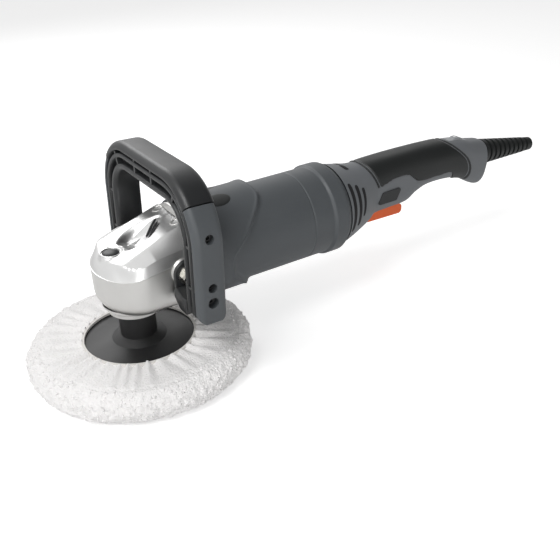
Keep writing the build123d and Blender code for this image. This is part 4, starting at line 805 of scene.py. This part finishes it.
    def add_bosses(self) -> None:
        """Raised screw bosses behind the scoop, side bosses for the D-handle and the button's rim."""
        for number, (x, y) in enumerate(((38, -17), (38, 17))):
            rows = []
            for r, dz in ((5.5, -2.5), (5.0, -0.4), (4.3, 0.3), (2.9, 0.4), (2.7, -0.5), (0.2, -0.6)):
                rows.append([
                    Vector((x + r * math.cos(a), y + r * math.sin(a), self.roof(x, y, 20) + dz
                            + self.slope * r * math.cos(a)))
                    for a in ring_angles(40)
                ])
            mesh = grid_mesh(rows, cap_end=True)
            new_piece(f"screw_boss_{number}", mesh, SATIN_CAST, Body.HOUSING)
        for side, label in SIDES:
            rows = [
                [
                    Vector((31 + r * math.cos(a), side * y, 99 + r * math.sin(a)))
                    for a in ring_angles(48)
                ]
                for y, r in ((38, 12.5), (43.2, 12.0), (43.9, 11.3), (43.95, 4.1))
            ]
            new_piece(f"pivot_boss_{label}", grid_mesh(rows), SATIN_CAST, Body.HOUSING)
        wire, ring = 0.7, 8.5
        profile = [
            (ring + wire * math.cos(b), self.roof_z0 - 0.2 + wire * math.sin(b))
            for b in ring_angles(12)
        ]
        rows = turned(profile + profile[:1], self.lock_x, 64)
        # The rim takes the roof's lighter copy: painted light on the top.
        new_piece("button_rim", grid_mesh(rows), POLISHED_LIT_CAST, Body.HOUSING)


@dataclass
class LockButton:
    """Domed spindle lock button."""

    x: float = -14.5
    radius: float = 7.4
    base_z: float = 109.6
    shoulder_z: float = 112.3
    top_z: float = 114.5

    def build(self) -> None:
        """Makes the button in place of its CAD solid."""
        profile = [(self.radius, self.base_z), (self.radius, self.shoulder_z)]
        profile += [
            (self.radius * math.cos(a), self.shoulder_z + (self.top_z - self.shoulder_z) * math.sin(a))
            for a in (math.pi / 2 * i / 14 for i in range(1, 14))
        ]
        rows = turned(profile, self.x, 72)
        mesh = grid_mesh(rows, cap_start=True, cap_end=True)
        piece = new_piece("lock_button_dome", mesh, BLACK_PLASTIC, Body.LOCK)
        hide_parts("spindle_lock_button")


@dataclass
class PaintedDialGlints:
    """Small white ovals round the rim of the speed dial: painted highlights in place of the white glints on
    the dial's top.
    """

    x: float = 371.0
    z: float = 117.0
    radius: float = 12.08
    count: int = 7
    spread: float = 200.0

    def build(self) -> None:
        """Makes the painted glints as thin raised white ovals."""
        for number in range(self.count):
            middle = -self.spread / 2 + self.spread * number / (self.count - 1)
            rows = []
            for k in range(5):
                share = k / 4
                row = []
                for a in ring_angles(20):
                    angle = math.radians(middle + 6.5 * share * math.cos(a))
                    r = self.radius - (0.1 if share == 1 else 0)
                    x, z = self.x + r * math.sin(angle), self.z + r * math.cos(angle)
                    row.append(Vector((x, 1.6 * share * math.sin(a), z)))
                rows.append(row)
            new_piece(f"dial_painted_glint_{number}", grid_mesh(rows), WHITE_GLINT_PAINT, Body.DIAL)


# -------------------------------------------------------------------------------------------- motor housing
@dataclass
class MotorHousing:
    """Dark barrel whose square front runs out along a raised S-shaped rib."""

    axis_z: float = 96.0
    front_x: float = 48.0
    rear_x: float = 206.0
    barrel_r: float = 41.5
    flange_r: float = 45.2
    widest_r: float = 46.3
    rib_height: float = 1.3
    band_x: float = 186.0
    seam_x: float = 164.0
    turn_in: float = 0.9
    rib_x: Plan = field(default_factory=lambda: [
        (0, 117), (28, 116), (62, 95), (76, 84.5), (88, 75.5), (101, 75.0), (118, 80), (145, 97), (180, 108),
    ])

    def radius(self, x: float, angle: float) -> float:
        """Radius at a station and an angle from the top, in degrees."""
        edge = along(self.rib_x, abs(angle))[0]
        lift = 0.8 * math.cos(math.radians(2 * angle)) ** 2
        front = self.flange_r + lift
        step = smoothstep(-3.2, 1.2, edge - x)
        r = self.barrel_r + (front - self.barrel_r) * step
        r += self.rib_height * math.exp(-(((x - edge - 1) / 2.7) ** 2))
        r += 2.0 * smoothstep(self.band_x - 1.5, self.band_x + 1.5, x)
        r -= 4.4 * smoothstep(199.5, self.rear_x + 1, x)
        r -= 0.55 * math.exp(-(((x - self.seam_x) / 0.55) ** 2))
        return min(r, self.widest_r)

    def spot(self, x: float, angle: float, lift: float = 0.0) -> Vector:
        """Point on the skin."""
        r = self.radius(x, angle) + lift
        a = math.radians(angle)
        return Vector((x, r * math.sin(a), self.axis_z + r * math.cos(a)))

    def end_ring(self, x: float, angles: list[float]) -> list[Vector]:
        """Ring inside the skin that turns an end in."""
        ring = [self.spot(x, a) for a in angles]
        return [
            Vector((x, self.turn_in * p.y, self.axis_z + self.turn_in * (p.z - self.axis_z)))
            for p in ring
        ]

    def build(self) -> None:
        """Makes the barrel and the oval shoulder inserts."""
        angles = [-180 + 360 * j / 240 for j in range(240)]
        stations = [self.front_x + (self.rear_x - self.front_x) * i / 230 for i in range(231)]
        rows = [self.end_ring(self.front_x, angles)]
        rows += [[self.spot(x, a) for a in angles] for x in stations]
        rows.append(self.end_ring(self.rear_x, angles))
        piece = new_piece("motor_barrel", grid_mesh(rows), DARK_PLASTIC, Body.HOUSING)
        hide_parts("motor_housing")
        for side, label in SIDES:
            rows = []
            for k in range(9):
                share = k / 8
                row = []
                for a in ring_angles(48):
                    x = 81 + 13 * share * math.cos(a)
                    angle = side * (18 + 11 * share * math.sin(a))
                    row.append(self.spot(x, angle, 0.25 - 0.6 * smoothstep(0.8, 1.0, share)))
                rows.append(row)
            mesh = grid_mesh(rows)
            insert = new_piece(f"shoulder_insert_{label}", mesh, BLACK_RUBBER, Body.HOUSING)
            if side < 0:
                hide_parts("shoulder_inserts")


# --------------------------------------------------------------------------------------------- rear handle
@dataclass
class RearHandle:
    """Light grey rear shells with a soft black grip, vents and the control surrounds."""

    sections: list[tuple[float, ...]] = field(default_factory=lambda: [
        (206, 96.0, 40.3, 40.3, 2.0), (220, 96.2, 37.2, 35.0, 2.0), (234, 97.2, 33.6, 29.0, 2.1),
        (245, 99.2, 31.2, 23.6, 2.3), (254, 102.6, 28.0, 20.2, 2.6), (275, 103.7, 27.0, 19.0, 2.9),
        (296, 104.3, 26.4, 18.8, 2.9), (308, 107.4, 23.3, 18.6, 2.7), (324, 109.6, 21.0, 18.4, 2.5),
        (350, 109.0, 20.3, 18.4, 2.5), (374, 105.6, 21.0, 18.4, 2.6), (390, 98.8, 23.4, 18.0, 2.7),
        (400, 95.8, 24.6, 17.2, 2.6), (404, 96.6, 23.0, 16.6, 2.6), (406.6, 100.2, 18.4, 15.8, 2.6),
    ])
    around: int = 200
    front_x: float = 206.0
    rear_x: float = 406.6
    grip_from: float = 236.0
    grip_to: float = 386.0
    rear_edge: Plan = field(default_factory=lambda: [(84, 381), (100, 380), (112, 373), (137, 344)])
    lower_edge: Plan = field(default_factory=lambda: [
        (240, 108), (257, 107.4), (275, 111.5), (293, 110.7), (306, 101.5), (336, 100), (353, 99),
        (359, 90), (372, 84), (384, 82),
    ])
    vents: tuple[tuple[float, ...], ...] = (
        (212.0, 43, 114, 4.6), (220.6, 48, 110, 4.6), (228.8, 56, 100, 4.0),
    )

    def spot(self, x: float, angle: float, lift: float = 0.0) -> Vector:
        """Point on the skin; the angle runs in degrees from the top, negative on the near side."""
        centre, half_h, half_w, power = along(self.sections, x)
        a = math.radians(angle)
        s, c = math.sin(a), math.cos(a)
        y = math.copysign(abs(s) ** (2 / power), s) * (half_w + lift)
        z = math.copysign(abs(c) ** (2 / power), c) * (half_h + lift)
        return Vector((x, y, centre + z))

    def grip_margin(self, x: float, z: float) -> tuple[float, float]:
        """How far a point lies inside the soft grip's edge, and from its front or rear edge."""
        front = x - (241 + 0.5 * (131 - z))
        rear = along(self.rear_edge, z)[0] - x
        lower = z - along(self.lower_edge, x)[0]
        return min(front, rear, lower), min(front, rear)

    def build(self) -> None:
        """Makes the shells, the grip, the vents and the small details."""
        angles = [-180 + 360 * j / self.around for j in range(self.around)]
        length = self.rear_x - self.front_x
        stations = [self.front_x + length * i / 250 for i in range(251)]
        rows = [[self.spot(x, a) for a in angles] for x in stations]
        centre = along(self.sections, self.rear_x)[0]
        for shrink, push in ((0.97, 0.25), (0.9, 0.4)):
            rows.append([
                Vector((self.rear_x + push, p.y * shrink, centre + (p.z - centre) * shrink))
                for p in (self.spot(self.rear_x, a) for a in angles)
            ])
        mesh = grid_mesh(rows, cap_end=True)
        shells = new_piece("rear_shells", mesh, LIGHT_PLASTIC, Body.HOUSING)
        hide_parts("handle_shell_left", "handle_shell_right")
        self.add_grip(angles)
        self.add_vents()
        self.add_dial_surround()

    def add_grip(self, angles: list[float]) -> None:
        """Soft grip: stands proud inside its edge and dives under the shell outside it."""
        rows = []
        for i in range(221):
            x = self.grip_from + (self.grip_to - self.grip_from) * i / 220
            row = []
            for a in angles:
                base = self.spot(x, a)
                inside, end_gap = self.grip_margin(x, base.z)
                groove = 1.5 * math.exp(-((end_gap - 3.4) ** 2))
                row.append(self.spot(x, a, -1.2 + 2.2 * smoothstep(-0.4, 0.6, inside) - groove))
            rows.append(row)
        grip = new_piece("soft_grip", grid_mesh(rows), BLACK_RUBBER, Body.HOUSING)
        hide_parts("handle_grip")

    def strip(self, name: str, path: Plan, width: float, finish: Finish) -> None:
        """Thin strip on the skin along stations and angles."""
        rows = []
        count = len(path)
        for number, (x, angle) in enumerate(path):
            end = min(number, count - 1 - number)
            half = width / 2 * min(1, math.sqrt(0.25 + end * 0.6))
            across = ((-half, 0.12), (0, 0.16), (half, 0.12))
            rows.append([self.spot(x + push, angle, lift) for push, lift in across])
        new_piece(name, grid_mesh(rows, wrap=False), finish, Body.HOUSING)

    def add_vents(self) -> None:
        """Curved vent slots on both sides and one on each shoulder, drawn as black strips on the skin:
        painted shade in place of openings.
        """
        for side, label in SIDES:
            for number, (x, start, end, width) in enumerate(self.vents):
                shares = [i / 24 for i in range(25)]
                path = [(x - 5 * (t - 0.3) ** 2, side * (start + (end - start) * t)) for t in shares]
                # Each vent is a flat black strip: painted shade where the opening would be.
                self.strip(f"vent_{label}_{number}", path, width, PAINTED_SHADE_BLACK)
            path = [(221 + 1.5 * i / 12, side * (2 + 16 * i / 12)) for i in range(13)]
            self.strip(f"vent_top_{label}", path, 5.5, PAINTED_SHADE_BLACK)

    def add_dial_surround(self) -> None:
        """Grey surround of the dial on top of the handle."""
        stations = [358 + 26 * i / 10 for i in range(11)]
        rows = [[self.spot(x, angle, 0.15) for angle in (-13, 0, 13)] for x in stations]
        mesh = grid_mesh(rows, wrap=False)
        new_piece("dial_slot", mesh, DIAL_GREY, Body.HOUSING)


# ------------------------------------------------------------------------------------------------ D-handle
@dataclass
class DHandle:
    """D-shaped front handle: grey outer legs, black grip and a ribbed inner shell."""

    pivot: tuple[float, float] = (31.0, 99.0)
    lean: float = 2.0
    half_span: float = 90.0
    top: float = 88.6
    foot: float = -27.0
    shoulder: float = 52.0
    half_depth: float = 12.9
    outer_t: float = 6.8
    thick: float = 25.0
    grey_top: float = 66.0
    grip_stand: float = 0.5
    holes: tuple[tuple[float, float], ...] = ((46, 3.9), (5, 3.9), (-8, 4.6))
    rib_shares: tuple[float, ...] = (0.08, 0.2, 0.33, 0.45, 0.55, 0.67, 0.8, 0.92)

    def space(self, u: float, v: float, w: float) -> Vector:
        """Point for a place across, up and through the handle's plane."""
        a = math.radians(self.lean)
        x = self.pivot[0] + v * math.sin(a) + w * math.cos(a)
        return Vector((x, u, self.pivot[1] + v * math.cos(a) - w * math.sin(a)))

    def route(self, t: float, inset: float, w: float) -> tuple[float, float]:
        """Point of the D at a share of its length from the near foot, moved in by inset."""
        half, top = self.half_span - inset, self.top - inset
        r = self.shoulder - inset
        reach = min(abs(w) / self.half_depth, 1)
        low = self.foot + 9.0 * (1 - math.sqrt(1 - (0.999 * reach) ** 2))
        if t > 0.5:
            u, v = self.route(1 - t, inset, w)
            return -u, v
        if t < 0.2:
            return -half, low + (top - r - low) * t / 0.2
        if t < 0.38:
            a = math.radians(90 * (t - 0.2) / 0.18)
            return -(half - r) - r * math.cos(a), top - r + r * math.sin(a)
        return -(half - r) * (1 - (t - 0.38) / 0.12), top

    def band(
        self, section: Plan, start: float, end: float, count: int
    ) -> bpy.types.Mesh:
        """Sweeps a section of inset and depth along part of the D."""
        rows = []
        for i in range(count + 1):
            t = start + (end - start) * i / count
            row = []
            for inset, w in section:
                u, v = self.route(t, inset, w)
                row.append(self.space(u, v, w))
            rows.append(row)
        mesh = grid_mesh(rows, cap_start=True, cap_end=True)
        shade_by_angle(mesh, 50)
        return mesh

    def outer_section(self, grow: float) -> Plan:
        """Section of the outer shell, rounded outside."""
        r = 6.0
        d = self.half_depth + grow
        points = arc_points(r - grow, d - r, r, 90, 180, 12) + arc_points(r - grow, r - d, r, 180, 270, 12)
        inner = self.outer_t
        return points + [(inner - 0.6, -d), (inner, 0.6 - d), (inner, d - 0.6), (inner - 0.6, d)]

    def share_at(self, height: float) -> float:
        """Share of the D at which the near shoulder reaches a height above the pivot."""
        r = self.shoulder
        a = math.degrees(math.asin(min(1, max(0, (height - self.top + r) / r))))
        return 0.2 + 0.18 * a / 90

    def build(self) -> None:
        """Makes both grey legs, the grip, the inner shell with its cross ribs, and the feet."""
        split = self.share_at(self.grey_top + 4)
        for start, end, name, node in (
            (0.0, split, "leg_shell_left", "d_handle_shell_left"),
            (1.0, 1 - split, "leg_shell_right", "d_handle_shell_right"),
        ):
            mesh = self.band(self.outer_section(0), start, end, 60)
            leg = new_piece(name, mesh, DARK_PLASTIC, Body.D_HANDLE)
            side = -1 if start == 0 else 1
            carve(leg, [self.hole(side, height, r) for height, r in self.holes])
            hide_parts(node)
        mesh = self.band(self.outer_section(self.grip_stand), split + 0.002, 0.998 - split, 120)
        grip = new_piece("front_grip", mesh, BLACK_PLASTIC, Body.D_HANDLE)
        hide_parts("d_handle_grip")
        t0, t1 = self.outer_t + 0.15, self.thick
        d = self.half_depth
        rail = [(0, 6), (2.6, 6), (2.6, 0.9), (3.3, 0.2), (5.6, 0.2), (6.3, 0.9), (6.3, 6)]
        lip = [(6.2, 6), (6.2, 1.4), (5.2, 0.5), (3, 0.7), (0.8, 2.2), (0, 4.5)]
        comb = [(t0, d - 0.4)] + [(t0 + a, -d + b) for a, b in rail]
        comb += [(t1 - a, -d + b) for a, b in lip] + [(t1, d - 3), (t1 - 1.2, d - 0.6)]
        mesh = self.band(comb, 0.0, 1.0, 200)
        inner = new_piece("inner_shell", mesh, BLACK_PLASTIC, Body.D_HANDLE)
        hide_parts("d_handle_inner_shell")
        self.add_ribs(t0, t1)
        self.add_feet()

    def hole(self, side: int, height: float, radius: float) -> bpy.types.Mesh:
        """Cutter for a recessed screw hole in a leg."""
        rows = []
        for depth in (-3, 8.6):
            u = side * (self.half_span - depth)
            rows.append([
                self.space(u, height + radius * math.cos(a), radius * math.sin(a))
                for a in ring_angles(40)
            ])
        return grid_mesh(rows, cap_start=True, cap_end=True)

    def add_ribs(self, t0: float, t1: float) -> None:
        """Cross ribs in the grooves of the inner shell's front."""
        d = self.half_depth
        for number, t in enumerate(self.rib_shares):
            section = [(t0, -d + 7), (t0, -d + 1.1), (t1 - 6, -d + 1.1), (t1 - 6, -d + 7)]
            mesh = self.band(section, t - 0.004, t + 0.004, 2)
            new_piece(f"cross_rib_{number}", mesh, BLACK_PLASTIC, Body.D_HANDLE)

    def add_feet(self) -> None:
        """Feet that reach in to the gear head, and the ears on its bosses."""
        d = self.half_depth
        for side, label in SIDES:
            outline = [(44.4, -12), (44.4, -19), (54, -26.6), (66, -26.6), (66, -12.5), (58, -12.5), (49, -9)]
            mesh = prism_mesh(
                outline, lambda a, b, w, s=side: self.space(s * a, b, w), -d + 0.4, d - 2.6, 1.0
            )
            new_piece(f"foot_{label}", mesh, BLACK_PLASTIC, Body.D_HANDLE)
            ear = arc_points(0, 0, 12, 0, 180, 20) + [(-12, -14), (-9, -19), (9, -19), (12, -14)]
            mesh = prism_mesh(
                ear, lambda a, b, w, s=side: Vector((31 + a, s * w, 99 + b)), 44.4, 48.2, 0.7)
            new_piece(f"ear_{label}", mesh, BLACK_PLASTIC, Body.D_HANDLE)


# ------------------------------------------------------------------------------------------------- staging
@dataclass
class Studio:
    """Camera, lights, floor and view settings."""

    place: tuple[float, float, float] = (-0.2015, -0.5582, 0.3979)
    azimuth: float = -32.11
    elevation: float = 29.03
    roll: float = -2.44
    lens: float = 49.88
    dark_side: tuple[float, float, float] = (0.63, -0.5, 0.6)
    room_light: float = 0.42
    floor_glow: float = 0.42
    target: tuple[float, float, float] = (0.13, 0.0, 0.08)

    def camera(self) -> None:
        """Sets the camera at the view that the object is shown from."""
        az, el, roll = (math.radians(v) for v in (self.azimuth, self.elevation, self.roll))
        back = Vector((math.sin(az) * math.cos(el), -math.cos(az) * math.cos(el), math.sin(el)))
        right = Vector((math.cos(az), math.sin(az), 0))
        up = back.cross(right)
        side = right * math.cos(roll) + up * math.sin(roll)
        top = -right * math.sin(roll) + up * math.cos(roll)
        data = bpy.data.cameras.new("camera")
        data.lens = self.lens
        data.sensor_width = 36
        data.clip_start = 0.01
        camera = bpy.data.objects.new("camera", data)
        bpy.context.scene.collection.objects.link(camera)
        turn = Matrix((side, top, back)).transposed().to_4x4()
        camera.matrix_world = Matrix.Translation(self.place) @ turn
        bpy.context.scene.camera = camera

    def light(self, name: str, place: tuple[float, float, float], size: float, power: float) -> None:
        """Adds a soft area light aimed at the middle of the object."""
        data = bpy.data.lights.new(name, "AREA")
        data.shape = "DISK"
        data.size = size
        data.energy = power
        lamp = bpy.data.objects.new(name, data)
        bpy.context.scene.collection.objects.link(lamp)
        lamp.location = place
        aim = Vector(self.target) - Vector(place)
        lamp.rotation_euler = aim.to_track_quat("-Z", "Y").to_euler()

    def floor_material(self) -> bpy.types.Material:
        """White floor that keeps the object's shadow and glows only to the camera.

        Returns:
            The material.
        """
        material = Finish("pale_floor", (0.9, 0.9, 0.9), 0.85, mottle=0.0, bump=0.0).build()
        nodes, links = material.node_tree.nodes, material.node_tree.links
        path = nodes.new("ShaderNodeLightPath")
        glow = nodes.new("ShaderNodeMath")
        glow.operation = "MULTIPLY"
        glow.inputs[1].default_value = self.floor_glow
        links.new(path.outputs["Is Camera Ray"], glow.inputs[0])
        shader = nodes["Principled BSDF"]
        shader.inputs["Emission Color"].default_value = (1, 1, 1, 1)
        links.new(glow.outputs["Value"], shader.inputs["Emission Strength"])
        return material

    def sky(self) -> None:
        """White room to the camera, softer light on the object, and a graded white in its reflections."""
        world = bpy.data.worlds.new("white_room")
        world.use_nodes = True
        nodes, links = world.node_tree.nodes, world.node_tree.links
        shade = nodes["Background"]
        path = nodes.new("ShaderNodeLightPath")
        place = nodes.new("ShaderNodeTexCoord")
        slope = nodes.new("ShaderNodeVectorMath")
        slope.operation = "DOT_PRODUCT"
        slope.inputs[1].default_value = self.dark_side
        links.new(place.outputs["Generated"], slope.inputs[0])
        graded = nodes.new("ShaderNodeMapRange")
        graded.interpolation_type = "SMOOTHSTEP"
        graded.inputs["From Min"].default_value = 0.2
        graded.inputs["From Max"].default_value = 0.85
        graded.inputs["To Min"].default_value = 1.0
        graded.inputs["To Max"].default_value = 0.08
        links.new(slope.outputs["Value"], graded.inputs["Value"])
        diffuse = nodes.new("ShaderNodeMix")
        diffuse.inputs["A"].default_value = self.room_light
        links.new(path.outputs["Is Glossy Ray"], diffuse.inputs["Factor"])
        links.new(graded.outputs["Result"], diffuse.inputs["B"])
        seen = nodes.new("ShaderNodeMath")
        seen.operation = "MAXIMUM"
        links.new(path.outputs["Is Camera Ray"], seen.inputs[0])
        links.new(path.outputs["Is Transmission Ray"], seen.inputs[1])
        white = nodes.new("ShaderNodeMix")
        white.inputs["B"].default_value = 1.0
        links.new(seen.outputs["Value"], white.inputs["Factor"])
        links.new(diffuse.outputs["Result"], white.inputs["A"])
        shade.inputs["Color"].default_value = (1, 1, 1, 1)
        links.new(white.outputs["Result"], shade.inputs["Strength"])
        bpy.context.scene.world = world

    def build(self) -> None:
        """Makes the whole stage."""
        self.camera()
        self.light("key", (-0.75, -0.35, 1.25), 0.7, 11)
        self.light("fill", (-0.5, -1.4, 0.45), 0.9, 4)
        self.light("rim", (0.2, 1.1, 0.9), 0.7, 5)
        floor = bpy.data.meshes.new("floor")
        floor.from_pydata([(-6, -6, 0), (6, -6, 0), (6, 6, 0), (-6, 6, 0)], [], [(0, 1, 2, 3)])
        piece = bpy.data.objects.new("floor", floor)
        bpy.context.scene.collection.objects.link(piece)
        floor.materials.append(self.floor_material())
        self.sky()
        bpy.context.scene.view_settings.view_transform = "Standard"


def finish_cad_nodes() -> None:
    """Gives each carried-over CAD node its procedural finish."""
    for name, finish in CAD_FINISHES.items():
        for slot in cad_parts[name].material_slots:
            slot.material = finish.build()


def main() -> None:
    """Builds the looks in order, around the frame."""
    logging.basicConfig(level=logging.INFO)
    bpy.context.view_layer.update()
    Studio().build()
    finish_cad_nodes()
    Bonnet().build()
    GearHead().build()
    LockButton().build()
    MotorHousing().build()
    RearHandle().build()
    PaintedDialGlints().build()
    DHandle().build()
    log.info("scene built")


if __name__ == "__main__":
    main()
